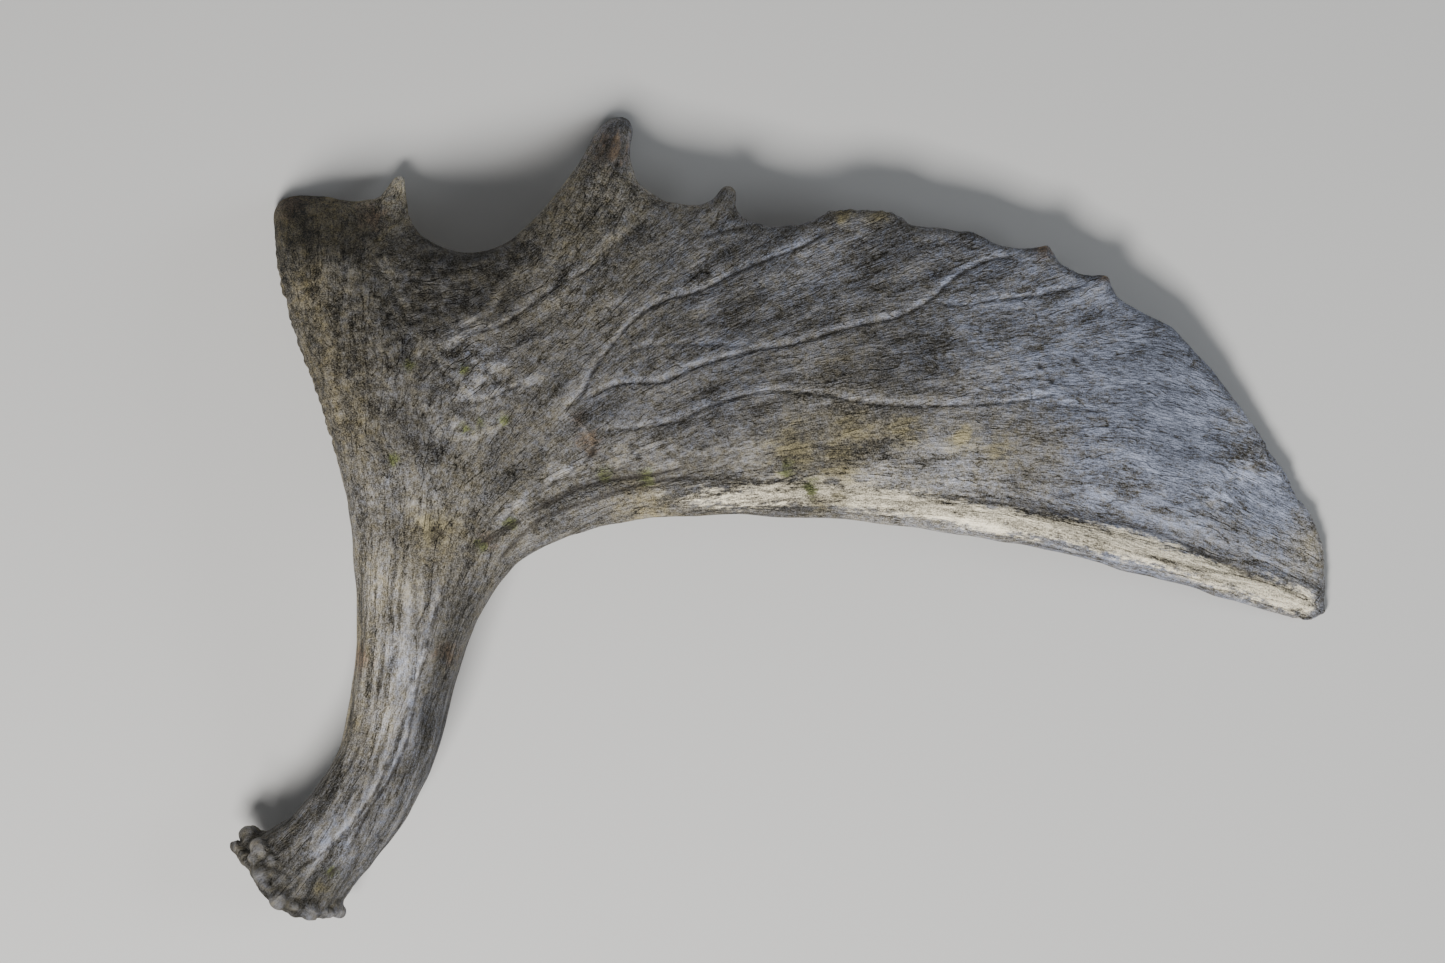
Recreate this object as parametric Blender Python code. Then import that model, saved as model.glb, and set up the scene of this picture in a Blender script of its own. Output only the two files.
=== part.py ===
"""A shed moose antler, resting on its burr, its tine tips and the far edge of its palm.

The rounded outer face of the palm is up. Every table is in millimetres: x and y are the plan, seen
from above, and z is up from the surface that the antler rests on. The bone lies between an upper and
a lower sheet. Both stand off one middle surface by half the local thickness, and both turn round the
plan outline as a quarter circle does. At the fork, upright cuts part the bone into the beam with its
burr, the brow palm and the main palm.
"""

import math

import bmesh
import bpy
import numpy as np
from mathutils import geometry

MM = 0.001
CUT_GAP = 0.3  # between the pieces that meet at the fork
OUTLINE_STEP = 8.0
RING_STEP = 8.0  # between the rows of points that follow the outline inside its rounded edge
THIN_EDGE = 9.0  # an edge of a smaller radius is rounded in two steps, a thicker one in three
WEB_STEP = 13.0
VEIN_STEP = 9.0
BEAM_ROW_STEP = 10.0
FRONT_CUT_COLUMNS = 9
REAR_CUT_COLUMNS = 12
BAY_CUT_COLUMNS = 18
CUT_CROWDING = 1.3  # columns crowd towards the outline: their place is this power of an even share
CORNER_GAP = 0.186  # from the fork's corner to each piece's own: a little over the gap over root three
BEND_STEP = 0.55  # the most that the outline turns between two of its points, in radians
RING_SPARE = 0.92  # a row inside the outline keeps the points that lie at this share of its depth or more
VEIN_CLEARANCE = 3.2  # how close points may come to each other: on a groove, round the edge, on a row
EDGE_CLEARANCE = 2.2
ROW_CLEARANCE = 4.4
WEB_CLEARANCE = 8.06
RIB_STEP = 12.0
GROOVE_STEP = 6.0
SHARP_ANGLE = 60.0
PLAN_CENTRE = (2.05, 0.73)  # of the whole antler, in the tables' own plan
BEAM_FINISH = ((0.42, 0.37, 0.30), 0.72)  # colour and roughness
BROW_FINISH = ((0.24, 0.20, 0.17), 0.78)
PALM_FINISH = ((0.33, 0.31, 0.28), 0.76)

# The outline in plan, from the burr up the front of the beam, round both palms and back to the burr.
BEAM_FRONT = [
    (-292.2, -179.4), (-285.3, -172.0), (-279.8, -165.9), (-272.3, -154.9), (-268.0, -148.2),
    (-262.9, -139.6), (-259.8, -129.3), (-256.5, -115.3), (-254.1, -99.0), (-252.0, -82.1),
    (-250.8, -64.0), (-250.5, -43.0), (-251.8, -26.9), (-252.9, -11.4), (-254.6, 0.5), (-256.7, 11.8),
]
BROW_FRONT = [
    (-259.1, 22.5), (-262.2, 37.4), (-267.1, 54.1), (-273.3, 70.8), (-280.3, 90.0), (-286.0, 105.0),
    (-291.9, 122.0), (-296.8, 137.9), (-300.2, 151.4), (-302.7, 164.4), (-304.5, 175.1),
]
BROW_TIP = [
    (-305.8, 183.8), (-304.2, 189.4), (-300.6, 193.3), (-293.9, 195.1), (-285.4, 195.4),
    (-275.4, 194.6), (-265.5, 192.8), (-256.9, 191.7), (-248.4, 192.5), (-241.1, 194.9),
]
BROW_SPUR = [
    (-237.0, 199.1), (-234.2, 203.0), (-231.6, 206.2), (-228.6, 207.0), (-226.0, 205.8),
    (-224.8, 201.3), (-223.6, 193.7), (-221.9, 185.1),
]
BAY = [
    (-220.0, 178.2), (-216.0, 171.8), (-210.3, 167.3), (-202.7, 163.1), (-194.0, 160.0),
    (-185.5, 158.8), (-176.5, 159.7), (-166.9, 162.4), (-158.6, 166.9), (-150.3, 174.3),
    (-143.3, 181.0), (-136.3, 189.1), (-129.8, 197.5), (-124.0, 206.2), (-118.4, 215.7),
]
GREAT_TINE = [
    (-114.0, 224.5), (-109.4, 233.1), (-104.0, 239.8), (-98.3, 243.1), (-93.7, 243.6), (-89.8, 241.4),
    (-87.8, 236.8), (-87.7, 230.0), (-88.4, 222.4), (-88.0, 215.4), (-86.1, 209.1), (-83.4, 203.1),
    (-79.1, 197.8), (-73.3, 193.5), (-66.1, 190.3), (-58.3, 188.8), (-51.0, 188.2), (-43.8, 189.3),
]
SMALL_TINE = [
    (-38.4, 191.8), (-35.1, 195.7), (-31.8, 199.1), (-28.2, 199.9), (-25.6, 197.8), (-24.8, 193.2),
    (-24.7, 188.2), (-22.8, 183.5), (-18.3, 179.6), (-11.3, 176.8),
]
PALM_TOP = [
    (-1.1, 174.6), (9.1, 175.3), (17.5, 177.4), (26.0, 181.1), (34.4, 184.5), (45.3, 185.2),
    (56.2, 184.6), (65.8, 184.6), (73.7, 181.0), (80.9, 176.2), (89.3, 174.8), (99.6, 174.1),
    (109.3, 172.8), (118.3, 172.2), (124.3, 169.0), (131.0, 165.4), (139.5, 163.1), (149.3, 162.4),
]
PALM_POINTS = [
    (157.8, 163.6), (163.9, 164.3), (166.3, 160.8), (169.9, 155.7), (174.8, 151.2), (180.9, 147.8),
    (189.4, 146.8), (196.7, 147.0), (200.9, 145.2), (202.5, 139.8), (206.7, 133.1), (213.7, 128.0),
    (222.2, 123.2), (233.2, 118.4), (239.9, 114.8),
]
PALM_END = [
    (249.8, 105.2), (260.9, 93.1), (272.6, 79.2), (283.2, 65.6), (293.0, 51.0), (302.2, 35.6),
    (310.2, 22.8), (316.3, 11.3), (323.6, 3.7), (328.5, -6.0), (331.8, -15.8), (332.7, -27.3),
    (333.3, -38.2), (334.2, -45.5), (333.0, -51.6), (333.0, -57.7), (329.7, -60.7), (321.8, -62.2),
    (313.8, -61.0),
]
PALM_RIM = [
    (298.1, -56.3), (279.5, -51.1), (262.2, -46.2), (246.8, -40.9), (228.4, -36.6), (213.6, -33.3),
    (194.6, -27.3), (175.6, -22.1), (158.6, -18.2), (129.5, -13.5), (98.7, -9.2), (73.4, -5.5),
    (43.5, -1.8), (13.5, -0.4), (-9.2, 1.0), (-23.5, 1.9), (-46.1, 1.0), (-69.9, 0.5), (-89.6, -1.6),
    (-105.6, -4.6), (-121.7, -9.9), (-136.5, -16.5), (-147.2, -22.4), (-156.2, -28.4),
]
BEAM_REAR = [
    (-164.6, -37.6), (-171.8, -47.8), (-177.8, -58.0), (-182.7, -70.0), (-187.7, -83.2),
    (-192.7, -97.7), (-197.7, -115.8), (-202.7, -134.6), (-208.3, -149.2), (-215.1, -165.0),
    (-223.1, -180.8), (-231.7, -193.7), (-239.1, -202.8), (-244.6, -210.2),
]

# Where the three cuts leave the outline, the fork where they meet, and a place well inside each piece.
FRONT_CUT = (-257.5, 15.5)
BAY_CUT = (-185.5, 158.8)
REAR_CUT = (-156.2, -28.4)
FORK = (-209.3, 10.6)
IN_BEAM = (-215.0, -50.0)
IN_BROW_PALM = (-260.0, 90.0)
IN_MAIN_PALM = (-120.0, 70.0)

# The bone at chosen places: x, y, height of the middle, half the thickness, radius of the nearest edge.
BEAM_PLACES = [
    (-267.5, -193.5, 41, 27, 28), (-245.0, -163.5, 51, 27, 28), (-233.0, -136.5, 59, 27, 28),
    (-226.5, -109.5, 68, 27, 29), (-220.5, -79.5, 78, 27, 31), (-215.0, -52.5, 87, 26, 34),
    (-208.0, -25.5, 95, 24, 34), (-208.0, 10.5, 102, 20, 30), (-256.0, 10.5, 93, 21, 26),
    (-148.0, -13.5, 94, 18, 24), (-184.0, 52.5, 107, 13, 20),
]
BROW_PLACES = [
    (-226.0, 70.5, 104, 13, 20), (-271.0, 70.5, 86, 16, 22), (-286.0, 112.5, 70, 15, 20),
    (-256.0, 112.5, 88, 13, 18), (-214.0, 118.5, 92, 10, 14), (-295.0, 154.5, 42, 15, 18),
    (-268.0, 157.5, 57, 12, 16), (-235.0, 160.5, 60, 10, 10), (-286.0, 184.5, 14.3, 15, 14),
    (-259.0, 183.0, 27, 10, 10), (-226.6, 197.7, 22, 5, 4.5), (-227.0, 181.5, 36, 7, 7),
]
BAY_PLACES = [
    (-187.0, 155.5, 76, 10, 10), (-208.0, 142.5, 81, 9.5, 11), (-166.0, 130.5, 93, 9.5, 12),
    (-154.0, 166.5, 74, 10.5, 11), (-142.0, 100.5, 102, 9.5, 14), (-130.0, 52.5, 106, 10, 14),
]
TINE_PLACES = [
    (-121.0, 181.5, 62, 12, 13), (-106.0, 202.5, 44, 13, 15), (-99.0, 220.5, 26, 12, 12),
    (-95.5, 234.0, 8.5, 9, 8), (-88.0, 169.5, 67, 9.5, 12), (-112.0, 148.5, 84, 9.5, 12),
    (-82.0, 187.5, 51, 8.5, 9), (-52.0, 181.5, 54, 6.5, 7), (-29.0, 193.0, 39, 4.8, 4.5),
    (-25.0, 177.0, 52, 6.5, 7),
]
PALM_PLACES = [
    (8.0, 169.5, 54, 6, 6.5), (50.0, 178.5, 46, 5, 5.5), (92.0, 167.7, 45, 5, 5.5),
    (134.0, 157.5, 41, 5, 5), (161.5, 157.5, 36, 4.5, 4.2), (196.4, 140.7, 31.5, 4.5, 4.2),
    (236.0, 106.5, 27, 5, 5), (275.0, 61.5, 17, 5, 5.5), (305.0, 10.5, 11.5, 5.5, 6),
    (320.0, -31.5, 9, 6.5, 7), (317.0, -52.5, 7.5, 8, 8), (-82.0, 46.5, 104, 7.5, 14),
    (-82.0, 106.5, 98, 7.5, 12), (-22.0, 52.5, 100, 6.5, 12), (-22.0, 112.5, 92, 6.5, 10),
    (44.0, 52.5, 92, 6, 12), (44.0, 118.5, 79, 5.5, 8), (110.0, 46.5, 81, 5.5, 10),
    (110.0, 112.5, 67, 5, 7), (176.0, 40.5, 63, 5.2, 8), (176.0, 100.5, 50, 4.8, 6),
    (236.0, 22.5, 43, 5.2, 8), (236.0, 70.5, 35, 4.8, 6), (284.0, -13.5, 24, 5.5, 8),
    (278.0, 22.5, 22.5, 5, 6),
]
RIM_PLACES = [
    (278.0, -43.5, 21, 8, 9), (224.0, -28.5, 36, 8.5, 11), (164.0, -12.3, 54, 9, 12),
    (104.0, -2.7, 67, 9, 12), (44.0, 5.7, 77, 9.5, 13), (-16.0, 8.7, 85, 10, 14),
    (-76.0, 7.5, 90, 12, 17), (-115.0, -1.5, 93, 15, 21),
]
PLACES = np.array(BEAM_PLACES + BROW_PLACES + BAY_PLACES + TINE_PLACES + PALM_PLACES + RIM_PLACES)
BLEND_REACH = 24.0  # how far a place's thickness carries, as the width of a bell curve

# Swellings of both faces along a line: half width, height, then the line.
RIBS = [
    (9.0, 4.5, [(-140, -8), (-112, 7), (-72, 12), (-20, 13), (45, 9), (104, 2), (164, -7), (224, -24),
                (278, -40), (318, -50)]),
    (16.0, 4.0, [(-286, 176), (-283, 150), (-272, 110), (-256, 62), (-244, 30)]),
    (11.0, 2.5, [(-97, 226), (-106, 200), (-120, 165), (-130, 130)]),
    (6.0, 1.6, [(-29, 194), (-29, 176), (-34, 152)]),
    (6.0, 1.4, [(161, 160), (148, 146), (124, 130)]),
    (6.0, 1.4, [(197, 142), (182, 130), (160, 118)]),
]
# Hollows in the upper face: x, y, radius, depth.
HOLLOWS = [(-226.0, 136.5, 15.0, 3.5), (-212.0, 128.0, 12.0, 2.0), (-62.0, 150.0, 20.0, 1.5)]

# Grooves that blood vessels left in the upper face while the antler grew.
VEIN_WIDTH = 4.0
VEIN_DEPTH = 1.3
VEINS = [
    [(-125.7, 64.1), (-116.2, 71.8), (-110.2, 84.9), (-99.5, 100.3), (-86.5, 115.8), (-67.4, 128.8),
     (-46.7, 135.0), (-19.9, 148.5), (-0.2, 156.5), (19.1, 164.4), (30.5, 172.0)],
    [(-110.2, 71.8), (-93.0, 78.9), (-67.4, 80.7), (-49.6, 88.5), (-13.4, 99.3), (12.3, 103.6),
     (38.7, 112.1), (77.8, 121.9), (91.1, 129.8), (107.6, 144.3), (125.4, 153.8), (142.0, 157.5)],
    [(96.0, 127.5), (107.3, 126.9), (128.1, 130.1), (154.3, 132.9), (176.9, 137.8), (188.0, 140.0)],
    [(-100.7, 49.8), (-77.5, 54.0), (-57.3, 57.5), (-44.3, 64.1), (-26.5, 70.7), (-5.6, 74.8),
     (25.3, 73.1), (50.3, 68.4), (105.7, 66.8), (152.0, 70.6), (169.8, 74.3)],
]

# The beam's foot to the burr and over the scar where the antler was shed: share of the way to the
# burr's centre, half width, half depth, and lean in degrees.
BURR_CENTRE = (-292.9, -215.9, 31.8)
BURR_RINGS = [
    (0.35, 29.3, 28.5, 5), (0.60, 31.2, 30.3, 10), (0.78, 33.0, 32.2, 14), (0.92, 34.4, 33.6, 18),
    (1.05, 34.6, 34.0, 21), (1.16, 33.0, 32.5, 21), (1.23, 27.5, 27.0, 21), (1.28, 17.0, 17.0, 21),
]
RIM_HALF_WIDTH = 34.6
SCAR_CENTRE_SHARE = 1.32
# The burr's pearls: way round it in degrees from its front end over the top, share, height, spread in
# degrees, and length as a share of the same way.
PEARLS = [
    (-8, 0.90, 7.0, 13, 0.10), (-30, 0.82, 5.0, 18, 0.10), (2, 1.15, 7.0, 10, 0.08),
    (38, 0.80, 3.0, 11, 0.10), (60, 0.92, 2.2, 12, 0.13), (78, 1.08, 2.2, 11, 0.13),
    (100, 1.12, 3.0, 11, 0.13), (128, 1.10, 3.0, 13, 0.13), (152, 1.08, 3.0, 12, 0.13),
    (176, 1.13, 8.0, 11, 0.10), (-62, 1.06, 2.4, 12, 0.13), (-84, 1.00, 2.6, 12, 0.13),
    (-108, 1.08, 2.4, 12, 0.13), (-131, 1.00, 3.0, 12, 0.13), (-154, 1.06, 2.4, 12, 0.13),
]
# Where the burr's rim lies back towards the beam or further from it: degrees, distance, spread.
RIM_SLIDES = [(45, -5.0, 22), (115, 2.5, 24)]
FLUTES = 7  # soft ridges round the beam
FLUTE_HEIGHT = 0.5


def smooth_path(points, step):
    """The curve through the points, with one more point about every step.

    Between two points it is a cubic, whose slope at a point is that of the parabola through the point
    and its two neighbours.
    """
    knots = np.array(points, float)
    chord = np.hypot(*np.diff(knots, axis=0).T)
    slope = np.diff(knots, axis=0) / chord[:, None]
    share = (chord[1:] / (chord[:-1] + chord[1:]))[:, None]
    tangent = np.vstack([slope[:1], share * slope[:-1] + (1 - share) * slope[1:], slope[-1:]])
    pieces = []
    for start, end, leave, reach, length in zip(knots, knots[1:], tangent, tangent[1:], chord):
        count = max(1, math.ceil(length / step))
        t = np.arange(count)[:, None] / count
        pieces.append(
            start * (1 - t) ** 2 * (1 + 2 * t) + end * t ** 2 * (3 - 2 * t)
            + length * (leave * t * (1 - t) ** 2 - reach * t ** 2 * (1 - t))
        )
    return np.vstack(pieces + [knots[-1:]])


def nearest_on(path, plan):
    """How far each plan point is from a chain of points, and the nearest place on the chain."""
    start, span = path[:-1], np.diff(path, axis=0)
    offset = plan[:, None] - start
    share = np.clip((offset * span).sum(2) / (span ** 2).sum(1), 0, 1)
    place = start + share[..., None] * span
    gap = np.hypot(*(plan[:, None] - place).transpose(2, 0, 1))
    best = gap.argmin(1)
    rows = np.arange(len(plan))
    return gap[rows, best], place[rows, best]


def inside(plan, loop):
    """Whether each plan point is inside a closed loop: a line to its right crosses it an odd count of times."""
    x, y = plan[:, None, 0], plan[:, None, 1]
    x0, y0 = loop.T
    x1, y1 = np.roll(loop, -1, axis=0).T
    crosses = (y0 > y) != (y1 > y)
    rise = np.where(y1 == y0, 1, y1 - y0)
    return (crosses & (x < x0 + (y - y0) * (x1 - x0) / rise)).sum(1) % 2 == 1


OUTLINE = smooth_path(
    BEAM_FRONT + BROW_FRONT + BROW_TIP + BROW_SPUR + BAY + GREAT_TINE + SMALL_TINE + PALM_TOP
    + PALM_POINTS + PALM_END + PALM_RIM + BEAM_REAR, 2.0)
OUTLINE_RUN = np.append(0, np.cumsum(np.hypot(*np.diff(OUTLINE, axis=0).T)))


def run_of(place):
    """How far along the outline its point nearest to a place is."""
    return OUTLINE_RUN[np.hypot(*(OUTLINE - place).T).argmin()]


def outline_between(run0, run1, step):
    """Outline points from one run to another, closer together where the outline bends."""
    fine = np.linspace(run0, run1, max(2, math.ceil(abs(run1 - run0) / 1.0)))
    points = np.column_stack([np.interp(fine, OUTLINE_RUN, axis) for axis in OUTLINE.T])
    heading = np.unwrap(np.arctan2(*np.diff(points, axis=0).T[::-1]))
    bend = np.append(0, np.abs(np.diff(heading)))
    effort = np.append(0, np.cumsum(np.hypot(*np.diff(points, axis=0).T) / step + bend / BEND_STEP))
    even = np.linspace(0, effort[-1], max(2, round(effort[-1])) + 1)
    return np.column_stack([np.interp(even, effort, axis) for axis in points.T])


def thin_plate(places, heights):
    """Weights of the smoothest surface through the heights, as a bent thin plate takes its shape."""
    spread = np.hypot(*(places[:, None] - places).transpose(2, 0, 1))
    bending = spread ** 2 * np.log(spread + 1e-9)
    flat = np.column_stack([np.ones(len(places)), places])
    system = np.block([[bending, flat], [flat.T, np.zeros((3, 3))]])
    return np.linalg.solve(system, np.append(heights, np.zeros(3)))


PLATE = thin_plate(PLACES[:, :2], PLACES[:, 2])


def middle_height(plan):
    """Height of the middle surface: the thin plate through the chosen places."""
    spread = np.hypot(*(plan[:, None] - PLACES[:, :2]).transpose(2, 0, 1))
    bending = spread ** 2 * np.log(spread + 1e-9)
    return bending @ PLATE[:-3] + PLATE[-3] + plan @ PLATE[-2:]


def thickness(plan):
    """Half the thickness and the edge radius: the places' own, weighed by bell curves round them."""
    spread = np.hypot(*(plan[:, None] - PLACES[:, :2]).transpose(2, 0, 1))
    weight = np.exp(-((spread / BLEND_REACH) ** 2)) + 1e-9 / (1 + spread ** 2)
    share = weight / weight.sum(1, keepdims=True)
    half, radius = (share @ PLACES[:, 3:]).T
    for width, height, line in RIBS:
        half = half + height * np.exp(-((nearest_on(smooth_path(line, RIB_STEP), plan)[0] / width) ** 2))
    return half, radius


def sheets(plan):
    """Plan points moved towards the outline, with the heights of the two sheets there.

    A point's distance to the outline is read as a way round the edge: over a quarter circle of the
    edge radius it goes from the outline, where the sheets meet, to the full thickness.
    """
    depth, edge = nearest_on(OUTLINE, plan)
    radius = thickness(plan)[1]
    turn = np.minimum(depth / radius, 1) * math.pi / 2
    pull = np.where(depth < radius, radius * (1 - np.cos(turn)), depth) / np.maximum(depth, 1e-9)
    moved = edge + (plan - edge) * pull[:, None]
    rise = np.sin(turn) * thickness(moved)[0]
    middle = middle_height(moved)
    hollow = sum(deep * np.exp(-((np.hypot(*(moved - (x, y)).T) / width) ** 2))
                 for x, y, width, deep in HOLLOWS)
    to_vein = np.min([nearest_on(smooth_path(line, GROOVE_STEP), moved)[0] for line in VEINS], axis=0)
    groove = VEIN_DEPTH * np.clip(1 - to_vein / VEIN_WIDTH, 0, 1)
    top = middle + rise - (hollow + groove) * np.sin(turn)
    return moved, np.maximum(top, 0), np.maximum(middle - rise, 0)


def well_spaced(fixed, groups):
    """The points of each group in turn that keep the group's own distance from all points kept so far."""
    kept = list(fixed)
    for points, clearance in groups:
        for point in points:
            if np.hypot(*(np.array(kept) - point).T).min() >= clearance:
                kept.append(point)
    return np.array(kept)


def edge_rings(run0, run1):
    """Rows of plan points inside the outline: two or three round its edge, then two past the rounding."""
    along = outline_between(run0, run1, OUTLINE_STEP)
    heading = np.gradient(along, axis=0)
    inward = np.column_stack([heading[:, 1], -heading[:, 0]]) / np.hypot(*heading.T)[:, None]
    radius = thickness(along)[1]
    steps = np.where(radius < THIN_EDGE, 2, 3)
    depths = [radius * np.minimum(number / steps, 1) for number in (1, 2, 3)]
    depths += [radius + RING_STEP, radius + 2 * RING_STEP]
    rows = []
    for depth in depths:
        row = along + inward * depth[:, None]
        rows.append(row[nearest_on(OUTLINE, row)[0] > RING_SPARE * depth])
    return rows


def beside(line, offsets):
    """Rows of plan points along a line and to its sides."""
    path = smooth_path(line, VEIN_STEP)
    heading = np.gradient(path, axis=0)
    aside = np.column_stack([-heading[:, 1], heading[:, 0]]) / np.hypot(*heading.T)[:, None]
    return [path + aside * offset for offset in offsets]


def web_grid(loop):
    """Plan points inside a loop on a grid of staggered rows."""
    low, high = loop.min(0), loop.max(0)
    row_step = WEB_STEP * math.sqrt(3) / 2
    rows = []
    for number, y in enumerate(np.arange(low[1], high[1], row_step)):
        x = np.arange(low[0] + WEB_STEP / 2 * (number % 2), high[0], WEB_STEP)
        rows.append(np.column_stack([x, np.full(len(x), y)]))
    return np.vstack(rows)


def cut_line(start, corner, end, columns):
    """Plan points along two straight cuts that meet at a corner, without the first and the last."""
    to_corner, from_corner = (np.linspace(0, 1, count + 1)[:, None] ** CUT_CROWDING for count in columns)
    going = start + (corner - start) * to_corner[1:]
    return np.vstack([going, end + (corner - end) * from_corner[-2:0:-1]])


def corner_of(towards):
    """The fork's corner of one piece: the fork, moved a little towards a place inside the piece."""
    way = np.array(towards, float) - FORK
    return np.array(FORK) + way / np.hypot(*way) * CORNER_GAP


def without_repeats(corners):
    """A face's corners, each once: where a wall meets the outline two of its four are one."""
    return list(dict.fromkeys(corners))


def solid(name, points, faces, finish):
    """A closed object from points in the tables' frame, smooth but for its sharp edges."""
    colour, roughness = finish
    placed = (np.array(points) - (*PLAN_CENTRE, 0)) * MM
    mesh = bpy.data.meshes.new(name)
    mesh.from_pydata(placed.tolist(), [], [list(map(int, face)) for face in faces])
    shape = bmesh.new()
    shape.from_mesh(mesh)
    bmesh.ops.recalc_face_normals(shape, faces=shape.faces)
    bmesh.ops.triangulate(shape, faces=shape.faces)
    shape.to_mesh(mesh)
    shape.free()
    mesh.shade_smooth()
    mesh.set_sharp_from_angle(angle=math.radians(SHARP_ANGLE))
    bone = bpy.data.materials.new(name)
    bone.use_nodes = True
    shader = bone.node_tree.nodes["Principled BSDF"]
    shader.inputs["Base Color"].default_value = (*colour, 1)
    shader.inputs["Roughness"].default_value = roughness
    shader.inputs["Metallic"].default_value = 0.0
    mesh.materials.append(bone)
    made = bpy.data.objects.new(name, mesh)
    bpy.context.collection.objects.link(made)
    return made


def palm(name, run0, run1, corner, columns, finish):
    """A piece of palm: two sheets that share the outline from run0 to run1 and are walled at the cuts."""
    arc = outline_between(run0, run1, OUTLINE_STEP)
    cuts = cut_line(arc[-1], corner, arc[0], columns)
    loop = np.vstack([arc, cuts])
    veins = [(row, VEIN_CLEARANCE) for line in VEINS for row in beside(line, (0, VEIN_WIDTH, -VEIN_WIDTH))]
    rings = edge_rings(run0, run1)
    rows = [(ring, EDGE_CLEARANCE) for ring in rings[:3]] + [(ring, ROW_CLEARANCE) for ring in rings[3:]]
    rows += [(row, ROW_CLEARANCE) for width, height, line in RIBS for row in beside(line, (0,))]
    rows += [(web_grid(loop), WEB_CLEARANCE)]
    rows, veins = ([(points[inside(points, loop)], clearance) for points, clearance in group]
                   for group in (rows, veins))
    upper = well_spaced(loop, rows[:3] + veins + rows[3:])
    lower = well_spaced(loop, rows)
    points, faces = [], []
    for plan, is_top in ((upper, True), (lower, False)):
        found = geometry.delaunay_2d_cdt(plan.tolist(), [], [list(range(len(loop)))], 1, 1e-4)
        plan = np.array([tuple(place) for place in found[0]])
        moved, top, bottom = sheets(plan)
        height = top if is_top else bottom
        middle = (top + bottom) / 2
        on_arc = np.arange(len(plan)) < len(arc)
        base = len(points)
        points += np.column_stack([moved, np.where(on_arc, middle, height)]).tolist()
        for face in found[2]:
            corners = [i if (i < len(arc) and not is_top) else base + i for i in face]
            faces.append(corners if is_top else corners[::-1])
    walls = [0] + [i for i in range(len(loop) - 1, len(arc) - 2, -1)]
    below = {i: i if i < len(arc) else len(upper) + i for i in walls}
    for here, there in zip(walls, walls[1:]):
        faces.append(without_repeats([here, there, below[there], below[here]]))
    used = sorted({i for face in faces for i in face})
    order = {old: new for new, old in enumerate(used)}
    faces = [[order[i] for i in face] for face in faces]
    return solid(name, [points[i] for i in used], faces, finish)


def beam_rows(run_front, run_rear, columns):
    """Plan points across the beam, row after row from its foot to the fork, where rows bend to the cuts."""
    total = OUTLINE_RUN[-1]
    count = math.ceil(max(run_front, total - run_rear) / BEAM_ROW_STEP)
    share = np.linspace(0, 1, count + 1)
    front = np.column_stack([np.interp(share * run_front, OUTLINE_RUN, axis) for axis in OUTLINE.T])
    rear = np.column_stack(
        [np.interp(total - share * (total - run_rear), OUTLINE_RUN, axis) for axis in OUTLINE.T])
    across = np.linspace(0, 1, sum(columns) + 1)[:, None]
    between = cut_line(front[-1], corner_of(IN_BEAM), rear[-1], columns)
    ends = np.vstack([front[-1:], between, rear[-1:]])
    bent = ends - (ends[0] * (1 - across) + ends[-1] * across)
    straight = front[:, None] * (1 - across) + rear[:, None] * across
    return straight + bent * (share ** 2)[:, None, None]


def bell(turn, degrees, spread):
    """A bell curve round the burr, one at its own angle and about a third at the spread."""
    away = np.degrees(np.angle(np.exp(1j * (turn - math.radians(degrees)))))
    return np.exp(-((away / spread) ** 2))


def burr_ring(foot, share, half_width, half_depth, lean):
    """One ring on the way from the foot's centre to the burr's, leaning back as the burr does."""
    count = len(foot)
    forward = foot[0] - foot[count // 2]
    forward /= np.linalg.norm(forward)
    outward = np.array([forward[1], -forward[0], 0])
    outward *= -np.sign(outward[1])
    upright = outward * math.sin(math.radians(lean)) + (0, 0, math.cos(math.radians(lean)))
    centre = foot.mean(0) * (1 - share) + np.array(BURR_CENTRE) * share
    turn = 2 * math.pi * np.arange(count) / count
    raised = sum(height * bell(turn, degrees, spread) * math.exp(-(((share - place) / length) ** 2))
                 for degrees, place, height, spread, length in PEARLS)
    slid = sum(distance * bell(turn, degrees, spread) for degrees, distance, spread in RIM_SLIDES)
    slid = slid * (min(share, 1) * half_width / RIM_HALF_WIDTH) ** 2
    return (centre + forward * ((half_width + raised) * np.cos(turn))[:, None]
            + upright * ((half_depth + raised) * np.sin(turn))[:, None] + outward * slid[:, None])


def fluted(ring, along):
    """A beam ring with soft ridges that fade towards both of its ends."""
    out = ring - ring.mean(0)
    turn = 2 * math.pi * np.arange(len(ring)) / len(ring)
    height = FLUTE_HEIGHT * math.sin(math.pi * along) * np.cos(FLUTES * turn + 2.5 * along)
    return ring + out / np.linalg.norm(out, axis=1)[:, None] * height[:, None]


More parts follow.
